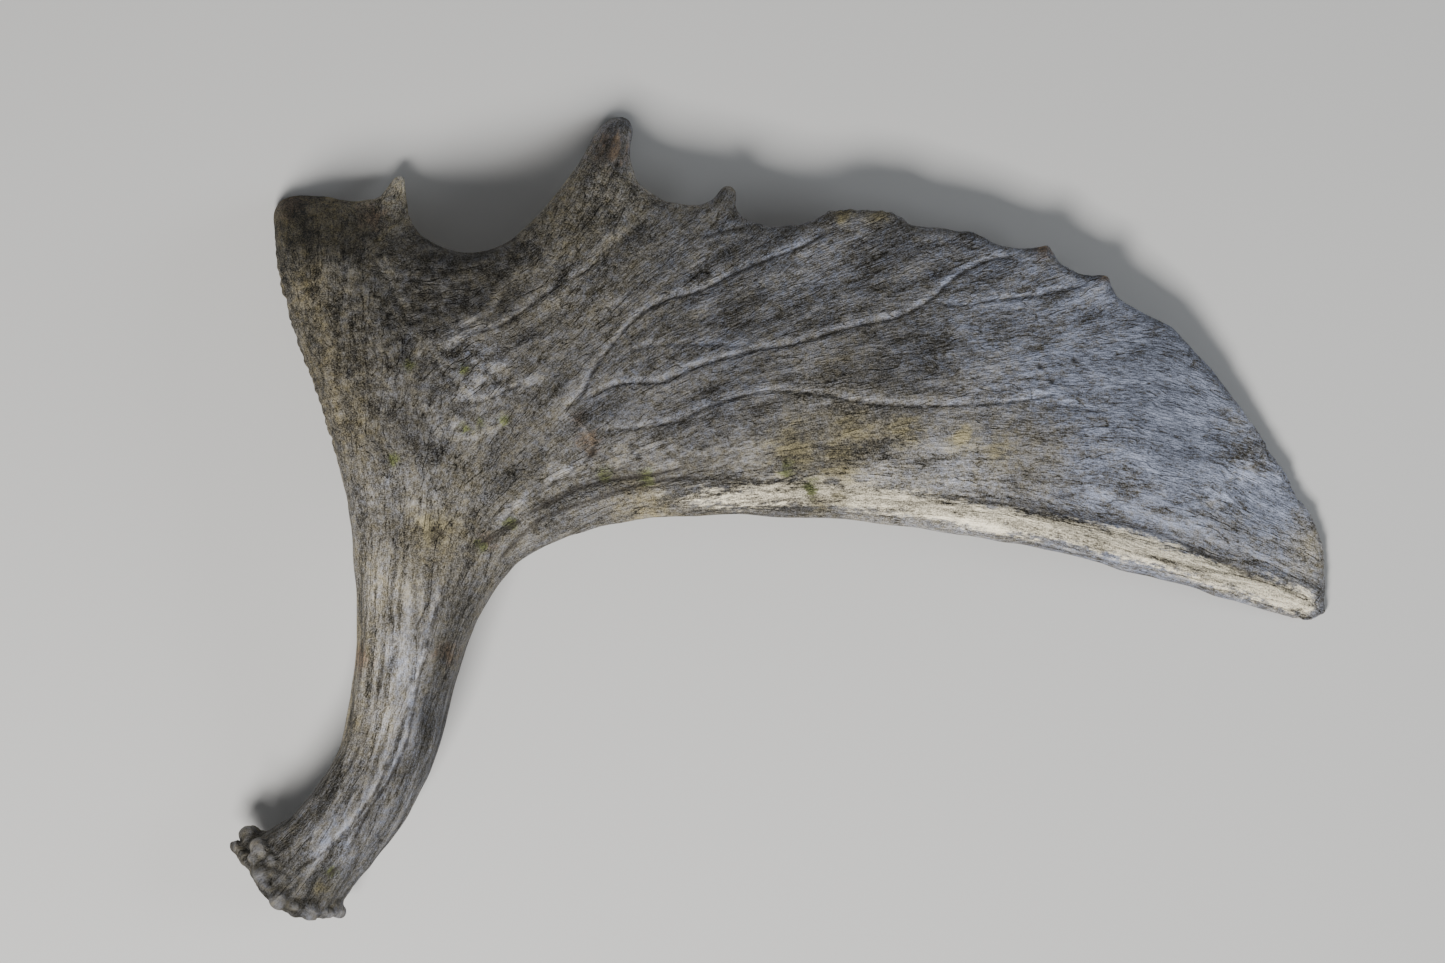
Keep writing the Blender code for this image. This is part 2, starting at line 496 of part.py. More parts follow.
def beam(name, run_front, run_rear, columns, finish):
    """The beam as rings from the fork to its foot, then the burr's rings, closed by the scar."""
    rows = beam_rows(run_front, run_rear, columns)
    width = rows.shape[1]
    moved, top, bottom = (part.reshape(len(rows), width, -1) for part in sheets(rows.reshape(-1, 2)))
    top[:, [0, -1]] = (top + bottom)[:, [0, -1]] / 2
    upper = np.concatenate([moved, top], axis=2)
    lower = np.concatenate([moved, bottom], axis=2)
    rings = [np.vstack([up, down[-2:0:-1]]) for up, down in zip(upper, lower)][::-1]
    rings = [fluted(ring, number / (len(rings) - 1)) for number, ring in enumerate(rings)]
    foot = rings[-1]
    count = len(foot)
    rings += [burr_ring(foot, *ring) for ring in BURR_RINGS]
    scar = foot.mean(0) * (1 - SCAR_CENTRE_SHARE) + np.array(BURR_CENTRE) * SCAR_CENTRE_SHARE
    points = np.vstack(rings + [scar[None]])
    points[:, 2] = np.maximum(points[:, 2], 0)
    faces = []
    for ring in range(len(rings) - 1):
        for i in range(count):
            here, there = ring * count + i, ring * count + (i + 1) % count
            faces.append([here, there, there + count, here + count])
    last = (len(rings) - 1) * count
    faces += [[last + i, last + (i + 1) % count, len(points) - 1] for i in range(count)]
    faces += [without_repeats([i, i + 1, (count - i - 1) % count, (count - i) % count])
              for i in range(width - 1)]
    return solid(name, points, faces, finish)


def clear_scene():
    for item in list(bpy.data.objects):
        bpy.data.objects.remove(item)


def main():
    clear_scene()
    front, bay, rear = run_of(FRONT_CUT), run_of(BAY_CUT), run_of(REAR_CUT)
    half_gap = CUT_GAP / 2
    beam("beam", front - half_gap, rear + half_gap, (FRONT_CUT_COLUMNS, REAR_CUT_COLUMNS), BEAM_FINISH)
    palm("brow_palm", front + half_gap, bay - half_gap, corner_of(IN_BROW_PALM),
         (BAY_CUT_COLUMNS, FRONT_CUT_COLUMNS), BROW_FINISH)
    palm("main_palm", bay + half_gap, rear - half_gap, corner_of(IN_MAIN_PALM),
         (REAR_CUT_COLUMNS, BAY_CUT_COLUMNS), PALM_FINISH)


main()
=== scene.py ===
"""A shed moose antler on a pale floor: weathered grey bone, streaked along the way that it grew.

Every table is in millimetres: x and y are the plan, seen from above, and z is up from the floor. The
bone lies between an upper and a lower sheet. Both stand off one middle surface by half the local
thickness, and both turn round the plan outline as a quarter circle does. Cuts part it at the fork
into the beam with its burr, the brow palm and the main palm. The relief then moves every point of
this skin along its own normal: vessel grooves, fibres, ridges, pearls, pits, cracks and worn edges.
"""

import math
from functools import partial, reduce

import bpy
import numpy as np
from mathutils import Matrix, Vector, geometry


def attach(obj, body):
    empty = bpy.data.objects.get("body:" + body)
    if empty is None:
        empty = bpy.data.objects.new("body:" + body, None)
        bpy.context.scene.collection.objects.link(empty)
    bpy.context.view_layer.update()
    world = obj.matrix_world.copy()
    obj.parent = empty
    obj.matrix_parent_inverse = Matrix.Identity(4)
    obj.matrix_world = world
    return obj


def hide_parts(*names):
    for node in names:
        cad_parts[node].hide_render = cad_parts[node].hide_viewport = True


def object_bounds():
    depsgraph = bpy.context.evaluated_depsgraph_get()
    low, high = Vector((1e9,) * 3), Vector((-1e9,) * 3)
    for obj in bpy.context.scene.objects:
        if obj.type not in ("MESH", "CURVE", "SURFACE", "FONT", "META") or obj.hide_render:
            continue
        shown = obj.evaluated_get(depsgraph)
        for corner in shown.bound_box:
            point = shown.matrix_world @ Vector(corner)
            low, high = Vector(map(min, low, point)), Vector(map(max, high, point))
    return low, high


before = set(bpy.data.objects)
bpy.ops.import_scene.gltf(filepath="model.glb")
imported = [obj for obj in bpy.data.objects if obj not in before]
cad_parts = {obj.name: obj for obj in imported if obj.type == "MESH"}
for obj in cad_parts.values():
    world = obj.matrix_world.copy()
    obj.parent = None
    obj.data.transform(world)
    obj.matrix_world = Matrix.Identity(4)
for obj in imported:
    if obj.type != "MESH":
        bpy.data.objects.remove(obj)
CAD_BOX = [list(corner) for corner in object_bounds()]

MM = 0.001
CHAIN_STEP = 1.5  # between the points of the chain that gaps to the outline are measured to
TRACE_STEP = 0.8  # between the places where the outline's bend is measured
OUTLINE_STEP = 1.25  # between the skin's points on the outline
UPPER_STEP = 1.2  # between the points of the upper sheet, and of the lower
LOWER_STEP = 2.1
WEB_CLEARANCE = 0.55  # how far those points keep from the outline and the cuts, in steps
WEB_TOLERANCE = 1e-4  # points closer than this are one in the web of triangles
BATCH_SIZE = 8192  # points whose nearest place on a line is looked up at once
BEAM_ROW_STEP = 0.9
BURR_ROW_STEP = 0.75
FRONT_CUT_COLUMNS = 42
REAR_CUT_COLUMNS = 56
BAY_CUT_COLUMNS = 120
CUT_CROWDING = 1.3  # columns crowd towards the outline: their place is this power of an even share
BEND_STEP = 0.55  # the most that the outline turns between two of its points, in radians
RIB_STEP = 12.0  # along a rib's line, and along the lines of the fine relief and the colours
LINE_STEP = 4.0
EDGE_STEP = 3.0
VESSEL_STEP = 2.0
CRACK_STEP = 1.0
PLAN_CENTRE = (2.05, 0.73)  # of the whole antler, in the tables' own plan

# The outline in plan, from the burr up the front of the beam, round both palms and back to the burr.
BEAM_FRONT = [
    (-292.2, -179.4), (-285.3, -172.0), (-279.8, -165.9), (-272.3, -154.9), (-268.0, -148.2),
    (-262.9, -139.6), (-259.8, -129.3), (-256.5, -115.3), (-254.1, -99.0), (-252.0, -82.1),
    (-250.8, -64.0), (-250.5, -43.0), (-251.8, -26.9), (-252.9, -11.4), (-254.6, 0.5), (-256.7, 11.8),
]
BROW_FRONT = [
    (-259.1, 22.5), (-262.2, 37.4), (-267.1, 54.1), (-273.3, 70.8), (-280.3, 90.0), (-286.0, 105.0),
    (-291.9, 122.0), (-296.8, 137.9), (-300.2, 151.4), (-302.7, 164.4), (-304.5, 175.1),
]
BROW_TIP = [
    (-305.8, 183.8), (-304.2, 189.4), (-300.6, 193.3), (-293.9, 195.1), (-285.4, 195.4),
    (-275.4, 194.6), (-265.5, 192.8), (-256.9, 191.7), (-248.4, 192.5), (-241.1, 194.9),
]
BROW_SPUR = [
    (-237.0, 199.1), (-234.2, 203.0), (-231.6, 206.2), (-228.6, 207.0), (-226.0, 205.8),
    (-224.8, 201.3), (-223.6, 193.7), (-221.9, 185.1),
]
BAY = [
    (-220.0, 178.2), (-216.0, 171.8), (-210.3, 167.3), (-202.7, 163.1), (-194.0, 160.0),
    (-185.5, 158.8), (-176.5, 159.7), (-166.9, 162.4), (-158.6, 166.9), (-150.3, 174.3),
    (-143.3, 181.0), (-136.3, 189.1), (-129.8, 197.5), (-124.0, 206.2), (-118.4, 215.7),
]
GREAT_TINE = [
    (-114.0, 224.5), (-109.4, 233.1), (-104.0, 239.8), (-98.3, 243.1), (-93.7, 243.6), (-89.8, 241.4),
    (-87.8, 236.8), (-87.7, 230.0), (-88.4, 222.4), (-88.0, 215.4), (-86.1, 209.1), (-83.4, 203.1),
    (-79.1, 197.8), (-73.3, 193.5), (-66.1, 190.3), (-58.3, 188.8), (-51.0, 188.2), (-43.8, 189.3),
]
SMALL_TINE = [
    (-38.4, 191.8), (-35.1, 195.7), (-31.8, 199.1), (-28.2, 199.9), (-25.6, 197.8), (-24.8, 193.2),
    (-24.7, 188.2), (-22.8, 183.5), (-18.3, 179.6), (-11.3, 176.8),
]
PALM_TOP = [
    (-1.1, 174.6), (9.1, 175.3), (17.5, 177.4), (26.0, 181.1), (34.4, 184.5), (45.3, 185.2),
    (56.2, 184.6), (65.8, 184.6), (73.7, 181.0), (80.9, 176.2), (89.3, 174.8), (99.6, 174.1),
    (109.3, 172.8), (118.3, 172.2), (124.3, 169.0), (131.0, 165.4), (139.5, 163.1), (149.3, 162.4),
]
PALM_POINTS = [
    (157.8, 163.6), (163.9, 164.3), (166.3, 160.8), (169.9, 155.7), (174.8, 151.2), (180.9, 147.8),
    (189.4, 146.8), (196.7, 147.0), (200.9, 145.2), (202.5, 139.8), (206.7, 133.1), (213.7, 128.0),
    (222.2, 123.2), (233.2, 118.4), (239.9, 114.8),
]
PALM_END = [
    (249.8, 105.2), (260.9, 93.1), (272.6, 79.2), (283.2, 65.6), (293.0, 51.0), (302.2, 35.6),
    (310.2, 22.8), (316.3, 11.3), (323.6, 3.7), (328.5, -6.0), (331.8, -15.8), (332.7, -27.3),
    (333.3, -38.2), (334.2, -45.5), (333.0, -51.6), (333.0, -57.7), (329.7, -60.7), (321.8, -62.2),
    (313.8, -61.0),
]
PALM_RIM = [
    (298.1, -56.3), (279.5, -51.1), (262.2, -46.2), (246.8, -40.9), (228.4, -36.6), (213.6, -33.3),
    (194.6, -27.3), (175.6, -22.1), (158.6, -18.2), (129.5, -13.5), (98.7, -9.2), (73.4, -5.5),
    (43.5, -1.8), (13.5, -0.4), (-9.2, 1.0), (-23.5, 1.9), (-46.1, 1.0), (-69.9, 0.5), (-89.6, -1.6),
    (-105.6, -4.6), (-121.7, -9.9), (-136.5, -16.5), (-147.2, -22.4), (-156.2, -28.4),
]
BEAM_REAR = [
    (-164.6, -37.6), (-171.8, -47.8), (-177.8, -58.0), (-182.7, -70.0), (-187.7, -83.2),
    (-192.7, -97.7), (-197.7, -115.8), (-202.7, -134.6), (-208.3, -149.2), (-215.1, -165.0),
    (-223.1, -180.8), (-231.7, -193.7), (-239.1, -202.8), (-244.6, -210.2),
]

# Where the three cuts leave the outline, and the fork where they meet.
FRONT_CUT = (-257.5, 15.5)
BAY_CUT = (-185.5, 158.8)
REAR_CUT = (-156.2, -28.4)
FORK = (-209.3, 10.6)

# The bone at chosen places: x, y, height of its middle, half its thickness, radius of its nearest edge.
BEAM_PLACES = [
    (-267.5, -193.5, 41, 27, 28), (-245.0, -163.5, 51, 27, 28), (-233.0, -136.5, 59, 27, 28),
    (-226.5, -109.5, 68, 27, 29), (-220.5, -79.5, 78, 27, 31), (-215.0, -52.5, 87, 26, 34),
    (-208.0, -25.5, 95, 24, 34), (-208.0, 10.5, 102, 20, 30), (-256.0, 10.5, 93, 21, 26),
    (-148.0, -13.5, 94, 18, 24), (-184.0, 52.5, 107, 13, 20),
]
BROW_PLACES = [
    (-226.0, 70.5, 104, 13, 20), (-271.0, 70.5, 86, 16, 22), (-286.0, 112.5, 70, 15, 20),
    (-256.0, 112.5, 88, 13, 18), (-214.0, 118.5, 92, 10, 14), (-295.0, 154.5, 42, 15, 18),
    (-268.0, 157.5, 57, 12, 16), (-235.0, 160.5, 60, 10, 10), (-286.0, 184.5, 14.3, 15, 14),
    (-259.0, 183.0, 27, 10, 10), (-226.6, 197.7, 22, 5, 4.5), (-227.0, 181.5, 36, 7, 7),
]
BAY_PLACES = [
    (-187.0, 155.5, 76, 10, 10), (-208.0, 142.5, 81, 9.5, 11), (-166.0, 130.5, 93, 9.5, 12),
    (-154.0, 166.5, 74, 10.5, 11), (-142.0, 100.5, 102, 9.5, 14), (-130.0, 52.5, 106, 10, 14),
]
TINE_PLACES = [
    (-121.0, 181.5, 62, 12, 13), (-106.0, 202.5, 44, 13, 15), (-99.0, 220.5, 26, 12, 12),
    (-95.5, 234.0, 8.5, 9, 8), (-88.0, 169.5, 67, 9.5, 12), (-112.0, 148.5, 84, 9.5, 12),
    (-82.0, 187.5, 51, 8.5, 9), (-52.0, 181.5, 54, 6.5, 7), (-29.0, 193.0, 39, 4.8, 4.5),
    (-25.0, 177.0, 52, 6.5, 7),
]
PALM_PLACES = [
    (8.0, 169.5, 54, 6, 6.5), (50.0, 178.5, 46, 5, 5.5), (92.0, 167.7, 45, 5, 5.5),
    (134.0, 157.5, 41, 5, 5), (161.5, 157.5, 36, 4.5, 4.2), (196.4, 140.7, 31.5, 4.5, 4.2),
    (236.0, 106.5, 27, 5, 5), (275.0, 61.5, 17, 5, 5.5), (305.0, 10.5, 11.5, 5.5, 6),
    (320.0, -31.5, 9, 6.5, 7), (317.0, -52.5, 7.5, 8, 8), (-82.0, 46.5, 104, 7.5, 14),
    (-82.0, 106.5, 98, 7.5, 12), (-22.0, 52.5, 100, 6.5, 12), (-22.0, 112.5, 92, 6.5, 10),
    (44.0, 52.5, 92, 6, 12), (44.0, 118.5, 79, 5.5, 8), (110.0, 46.5, 81, 5.5, 10),
    (110.0, 112.5, 67, 5, 7), (176.0, 40.5, 63, 5.2, 8), (176.0, 100.5, 50, 4.8, 6),
    (236.0, 22.5, 43, 5.2, 8), (236.0, 70.5, 35, 4.8, 6), (284.0, -13.5, 24, 5.5, 8),
    (278.0, 22.5, 22.5, 5, 6),
]
RIM_PLACES = [
    (278.0, -43.5, 21, 8, 9), (224.0, -28.5, 36, 8.5, 11), (164.0, -12.3, 54, 9, 12),
    (104.0, -2.7, 67, 9, 12), (44.0, 5.7, 77, 9.5, 13), (-16.0, 8.7, 85, 10, 14),
    (-76.0, 7.5, 90, 12, 17), (-115.0, -1.5, 93, 15, 21),
]
PLACES = np.array(BEAM_PLACES + BROW_PLACES + BAY_PLACES + TINE_PLACES + PALM_PLACES + RIM_PLACES)
BLEND_REACH = 24.0  # how far a place's thickness carries, as the width of a bell curve

# Swellings of both faces along a line: half width, height, then the line.
RIBS = [
    (9.0, 4.5, [(-140, -8), (-112, 7), (-72, 12), (-20, 13), (45, 9), (104, 2), (164, -7), (224, -24),
                (278, -40), (318, -50)]),
    (16.0, 4.0, [(-286, 176), (-283, 150), (-272, 110), (-256, 62), (-244, 30)]),
    (11.0, 2.5, [(-97, 226), (-106, 200), (-120, 165), (-130, 130)]),
    (6.0, 1.6, [(-29, 194), (-29, 176), (-34, 152)]),
    (6.0, 1.4, [(161, 160), (148, 146), (124, 130)]),
    (6.0, 1.4, [(197, 142), (182, 130), (160, 118)]),
]
# Hollows in the upper face: x, y, radius, depth.
HOLLOWS = [(-226.0, 136.5, 15.0, 3.5), (-212.0, 128.0, 12.0, 2.0), (-62.0, 150.0, 20.0, 1.5)]
# Grooves that blood vessels left in the outer face while the antler grew: depth against the deepest,
# then the line, which runs outwards.
VESSELS = [
    (1.0, [(-125.7, 64.1), (-116.2, 71.8), (-110.2, 84.9), (-99.5, 100.3), (-86.5, 115.8),
           (-67.4, 128.8), (-46.7, 135.0), (-19.9, 148.5), (-0.2, 156.5), (19.1, 164.4), (30.5, 172.0)]),
    (1.0, [(-110.2, 71.8), (-93.0, 78.9), (-67.4, 80.7), (-49.6, 88.5), (-13.4, 99.3), (12.3, 103.6),
           (38.7, 112.1), (77.8, 121.9), (91.1, 129.8), (107.6, 144.3), (125.4, 153.8),
           (142.0, 157.5)]),
    (0.8, [(96.0, 127.5), (107.3, 126.9), (128.1, 130.1), (154.3, 132.9), (176.9, 137.8),
           (188.0, 140.0)]),
    (0.9, [(-100.7, 49.8), (-77.5, 54.0), (-57.3, 57.5), (-44.3, 64.1), (-26.5, 70.7), (-5.6, 74.8),
           (25.3, 73.1), (50.3, 68.4), (105.7, 66.8), (152.0, 70.6), (169.8, 74.3)]),
    (0.6, [(164.2, 68.2), (187.1, 64.6), (206.3, 62.3)]),
    (0.5, [(-90.6, 97.9), (-74.0, 101.5), (-52.0, 102.7), (-19.9, 101.8)]),
    (0.8, [(-164.0, -3.5), (-156.0, 3.6), (-136.5, 18.3), (-119.4, 29.6), (-110.0, 37.9),
           (-108.2, 45.6), (-114.1, 55.0), (-125.3, 63.9)]),
    (0.6, [(-195.5, 52.0), (-176.0, 53.2), (-160.7, 58.5)]),
    (0.6, [(-177.2, 67.4), (-159.6, 75.7), (-146.0, 79.9)]),
    (0.8, [(-198.3, 104.3), (-187.0, 111.5), (-175.3, 119.8)]),
    (0.8, [(-180.0, 109.6), (-164.0, 114.4), (-148.7, 124.5), (-131.5, 137.0), (-114.5, 146.2)]),
    (0.7, [(-129.2, 138.9), (-117.0, 144.8), (-106.2, 152.3)]),
    (0.6, [(-46.8, 167.3), (-32.4, 171.1), (-13.2, 175.8)]),
    (1.3, [(-258, -203), (-244, -175), (-232, -157), (-223, -139), (-213, -97), (-207, -73),
           (-198, -40)]),
    (0.9, [(-287, -211), (-266, -196), (-250, -178), (-239, -162), (-230, -140)]),
]
# The inner face has fewer and shallower ones, which lie beside those of the outer face.
INNER_SHIFT = (-16.0, 11.0)
INNER_COUNT = 4
INNER_DEPTH = 0.6
VESSEL_DEPTH = 0.8
VESSEL_FLOOR = 1.2  # width of a groove's floor
VESSEL_BANK = (1.5, 2.4)  # how far the bank on its left is and how wide, and the lip on its right
VESSEL_LIP = (2.8, 1.8)
VESSEL_REACH = 12.0  # gaps to a groove count up to this
LINE_FADE = (-4, 10)  # a groove or a crack grows to its full depth between these ways from its end

# Which way the bone grew, in degrees turned from the x axis: x, y, angle.
GROWTH = [
    (-309, -217, 50), (-286, -193, 56), (-259, -163, 66), (-240, -127, 76), (-229, -84, 84),
    (-222, -43, 87), (-219, -1, 89), (-248, -73, 89), (-207, -121, 68), (-194, -79, 74),
    (-177, -43, 64), (-247, 28, 97), (-223, 46, 92), (-194, 28, 66), (-256, 70, 104),
    (-273, 112, 110), (-293, 161, 106), (-289, 189, 112), (-234, 104, 108), (-248, 140, 112),
    (-226, 160, -8), (-210, 144, -6), (-212, 124, 4), (-230, 195, 84), (-252, 186, 100),
    (-195, 135, 4), (-180, 150, 14), (-182, 82, 42), (-174, 118, 26), (-159, 135, 40),
    (-141, 70, 48), (-130, 166, 58), (-106, 203, 64), (-95, 231, 76), (-94, 129, 44), (-93, 70, 30),
    (-46, 166, 36), (-29, 191, 62), (-46, 112, 28), (-10, 70, 14), (-22, 136, 27), (44, 167, 24),
    (55, 112, 16), (73, 52, 6), (122, 155, 18), (133, 106, 8), (157, 52, 0), (159, 155, 24),
    (195, 137, 20), (213, 89, -4), (243, 41, -14), (256, 83, -22), (293, 10, -24), (311, -26, -22),
    (-153, -1, 42), (-117, 17, 26), (-76, 22, 12), (-22, 14, 3), (43, 14, -3), (103, 8, -6),
    (163, -4, -10), (224, -23, -17), (286, -44, -18), (-141, -13, 34),
]
# How light and how warm the bone is, and how much its pattern is blotches and not streaks: x, y,
# lightness in halvings or doublings, warmth from -1 to 1, blotches from 0 to 1. The lightness is partly
# the bone's own tone and partly painted shade and light: darker on the beam's shaded rear flank, in the
# bay and at the brow's far corner, and lighter on the beam's lit front flank and over the palm's far
# end.
TONES_AND_SHADE = [
    (-268, 95, -0.5, 0.5, 0.7), (-286, 178, -1.0, 0.7, 0.8), (-258, 168, -0.9, 0.5, 0.8),
    (-285, 140, -0.1, 0.6, 0.8), (-258, 146, 0.2, 0.3, 0.9), (-240, 136, -0.5, 0.2, 0.9),
    (-212, 130, -1.2, 0.2, 0.9), (-225, 110, -0.7, 0.2, 0.9), (-174, 131, -1.4, 0.2, 0.8),
    (-215, 60, -0.6, 0.2, 0.7), (-229, 22, 0.3, 0.2, 0.4), (-260, 60, -0.2, 0.5, 0.7),
    (-195, 160, -1.1, 0.2, 0.9), (-179, 91, 0.2, 0.0, 0.7), (-230, 197, 1.2, 0.4, 0.4),
    (-120, 180, 0.1, 0.4, 0.5), (-103, 196, 1.0, 0.4, 0.6), (-95, 231, 0.4, -0.1, 0.3),
    (-110, 140, 0.1, 0.2, 0.4), (-50, 150, 0.3, 0.0, 0.1), (-100, 70, -0.4, 0.0, 0.2),
    (-76, 112, -0.3, 0.1, 0.1), (-30, 90, -0.4, -0.1, 0.0), (-46, 61, -0.4, 0.0, 0.0),
    (-60, 20, -0.3, 0.1, 0.1), (-120, 20, 0.1, 0.1, 0.2), (-150, 30, -0.6, 0.2, 0.5),
    (-150, -10, -0.2, 0.2, 0.2), (-200, 20, 0.0, 0.2, 0.5), (-145, 70, -0.4, 0.1, 0.5),
    (-202, -10, -0.4, 0.5, 0.6), (-1, 31, -0.2, 0.2, 0.1), (49, 49, -0.2, 0.4, 0.2),
    (60, 20, 1.0, 0.1, 0.1), (110, 15, 1.0, 0.0, 0.0), (150, 40, 0.2, 0.1, 0.0),
    (17, 149, 0.5, -0.1, 0.1), (73, 94, -0.2, -0.1, 0.0), (133, 120, 0.5, -0.3, 0.0),
    (180, 80, 0.8, -0.5, 0.0), (225, 77, 0.9, -0.8, 0.1), (240, 45, 0.9, -0.8, 0.1),
    (200, 20, 0.9, -0.4, 0.0), (293, 13, 1.3, -0.8, 0.2), (317, -51, 0.5, -0.1, 0.2),
    (-224, -84, 0.9, -0.2, 0.0), (-240, -84, 1.0, 0.2, 0.0), (-238, -120, 1.1, 0.1, 0.0),
    (-201, -78, -1.2, 0.2, 0.0), (-208, -120, -1.2, -0.1, 0.0), (-196, -98, -1.2, 0.1, 0.0),
    (-251, -79, 0.0, 0.7, 0.0), (-254, -120, 0.0, 0.5, 0.0), (-222, -140, -0.7, -0.1, 0.0),
    (-188, -60, -0.8, 0.2, 0.0), (-240, -40, 0.7, 0.3, 0.0), (-268, -196, -0.4, -0.1, 0.1),
    (-285, -180, -0.6, 0.1, 0.1), (-301, -217, -1.3, 0.2, 0.4), (-232, -170, -0.7, 0.0, 0.0),
    (-324, -198, -0.6, 0.3, 0.4), (-75, 8, 0.1, 0.6, 0.0), (61, 88, -0.4, 0.2, 0.1),
    (275, -12, 0.6, -0.2, 0.2), (298, -25, 0.8, -0.2, 0.2), (324, -22, 1.0, 0.2, 0.3),
    (302, 40, 1.1, -0.2, 0.2),
]
# The worn, cream crest of the rim, which shows more and more between two places along x.
CREAM_RIM = [
    (-129, -1.2), (-93.5, 7.7), (-52, 12.4), (-22.3, 12.4), (13.4, 15.4), (43.2, 13.6), (73, 8.8),
    (133.1, -1.4), (193.8, -11.7), (242.8, -25.7), (292.3, -42.8), (318.0, -51.5),
]
CREAM_WIDTH = 7.0
CREAM_START = (-90, 30)
# Pale strips down the beam, over the fork and on the palms: half width, then the line.
PALE_STRIPS = [
    (7.0, [(-216, -40), (-220, -72.4), (-226, -108.3), (-233.9, -135.5), (-246.2, -162.7),
           (-264.6, -187), (-277, -199)]),
    (2.4, [(-152, 4), (-138, 16), (-124, 25), (-115, 31)]),
    (3.0, [(-205, 97), (-191, 107), (-174, 121), (-163, 135)]),
    (3.0, [(-235, 153), (-219, 122), (-212, 106), (-203, 97), (-188, 81), (-183, 72), (-163, 74),
           (-142, 83)]),
    (3.0, [(-207, 65), (-198, 50), (-177, 50), (-162, 55)]),
    (2.5, [(-112, 22), (-86, 32), (-60, 38), (-30, 40)]),
]
# The crease between the rim and the palm.
RIM_CREASE = [(150, 12), (178.5, 7.5), (224.4, -1.6), (255.3, -16.7), (279.9, -34.9)]
CREASE_WIDTH = 8.0
CREASE_DEPTH = 1.6
# Patches of colour: x, y, reach.
PATCHES = {
    "brown": [
        (-197, -80, 7), (-244, 181, 9), (-250, -84, 9), (-173, -13, 6), (-111, 46, 7), (161, 161, 6),
        (199, 146, 6), (-295, 190, 10), (-101, 222, 12), (-110, 39, 4), (-118, 58, 5),
    ],
    "ochre": [
        (-203, -7, 11), (43, 51, 11), (76, 52, 11), (25, 9, 7), (36, 12, 5), (37, 34, 14), (7, 46, 9),
        (10, 40, 16), (110, 48, 9), (132, 40, 8), (40, 183, 7), (62, 183, 7), (-272, -222, 6),
    ],
    "moss": [
        (-218, 91, 4), (-185, 88, 3), (-227, 34, 4), (-184, 53, 4), (-176, 56, 3), (-161, 58, 4),
        (-102, 25, 5), (-78, 24, 5), (-158, -4, 4), (19, 17, 6), (-176, -16, 4), (6, 30, 5),
        (-268, -213, 4),
    ],
    "pale": [
        (-10, 36, 14), (-93, 36, 8), (-70, 30, 14), (-209, 102, 6), (-228, 203, 7), (-88, 232, 6),
        (-218, -78, 10), (-231, 85, 6), (-264, 150, 7), (-178, 84, 7), (-163, 87, 6), (-190, 56, 6),
        (-205, 4, 9), (-150, 3, 7), (-132, 26, 8), (266, 10, 8), (284, 26, 10),
    ],
}
# Small holes: x, y, reach, depth.
PITS = [
    (158, 91, 1.8, 0.9), (179, 95, 1.5, 0.8), (165, 82, 1.5, 0.7), (-203, -6, 2.2, 1.4),
    (-199, -9, 1.8, 1.2), (-203, -11, 1.8, 1.2), (-215, -40, 1.8, 1.0), (-110, 39, 3.0, 1.0),
    (-96, 213, 2.0, 1.0), (184, 17, 1.5, 0.8), (-143, -7, 1.8, 1.0), (-318, -201, 3.0, 2.2),
]
PIT_DIRT = 0.8  # how much of the cracks' dirt lies in the pits
# Cracks: depth against the deepest, then the line.
CRACKS = [
    (0.8, [(163.3, 11.7), (173, 12.9), (182.8, 14.7)]),
    (0.7, [(-240, -141.6), (-236.3, -138.5), (-233.3, -134.9)]),
    (1.0, [(-274, -217.3), (-266.2, -212.5), (-259.2, -206.7)]),
    (1.0, [(-183, -19), (-160, -6), (-146, 3), (-132, 10.5), (-113, 19), (-99, 22.5), (-79, 25),
           (-52, 30)]),
    (0.9, [(-168, -28), (-155, -14), (-141, -1), (-124, 6), (-106, 12), (-76, 21), (-46, 25)]),
    (0.8, [(-153, -1), (-129, 14), (-106, 24), (-82, 33)]),
    (0.7, [(95, 13), (140, 8), (181, 1), (212, -5), (239, -13), (270, -27), (300, -42)]),
    (0.6, [(-256, -148), (-246, -130), (-238, -104), (-233, -80)]),
]
CRACK_DEPTH = 1.0
CRACK_WIDTH = 1.3
# Rough, worn stretches of the outline, and how far the wear reaches from them.
WORN_EDGES = [
    [(28, 183), (45, 186), (58, 185), (74, 181)],
    [(295, 47), (316, 12), (332, -18), (334, -56), (316, -61)],
    [(-262, 37), (-273, 71), (-286, 105), (-297, 138), (-303, 164)],
]
WORN_EDGE_REACH = 6.0

# The beam's foot to the burr and over the scar where the antler was shed: share of the way to the
# burr's centre, half width, half depth, and lean in degrees.
BURR_CENTRE = (-292.9, -215.9, 31.8)
BURR_RINGS = [
    (0.35, 29.3, 28.5, 5), (0.60, 31.2, 30.3, 10), (0.78, 33.0, 32.2, 14), (0.92, 34.4, 33.6, 18),
    (1.05, 34.6, 34.0, 21), (1.16, 33.0, 32.5, 21), (1.23, 27.5, 27.0, 21), (1.28, 17.0, 17.0, 21),
]
RIM_HALF_WIDTH = 34.6
SCAR_CENTRE_SHARE = 1.32
# The row of the beam that leads the curves to the burr: how many from its last, share and lean; then
# the lean at its foot.
NECK_ROW = -10
NECK = (-0.25, 3)
FOOT = (0, 4)
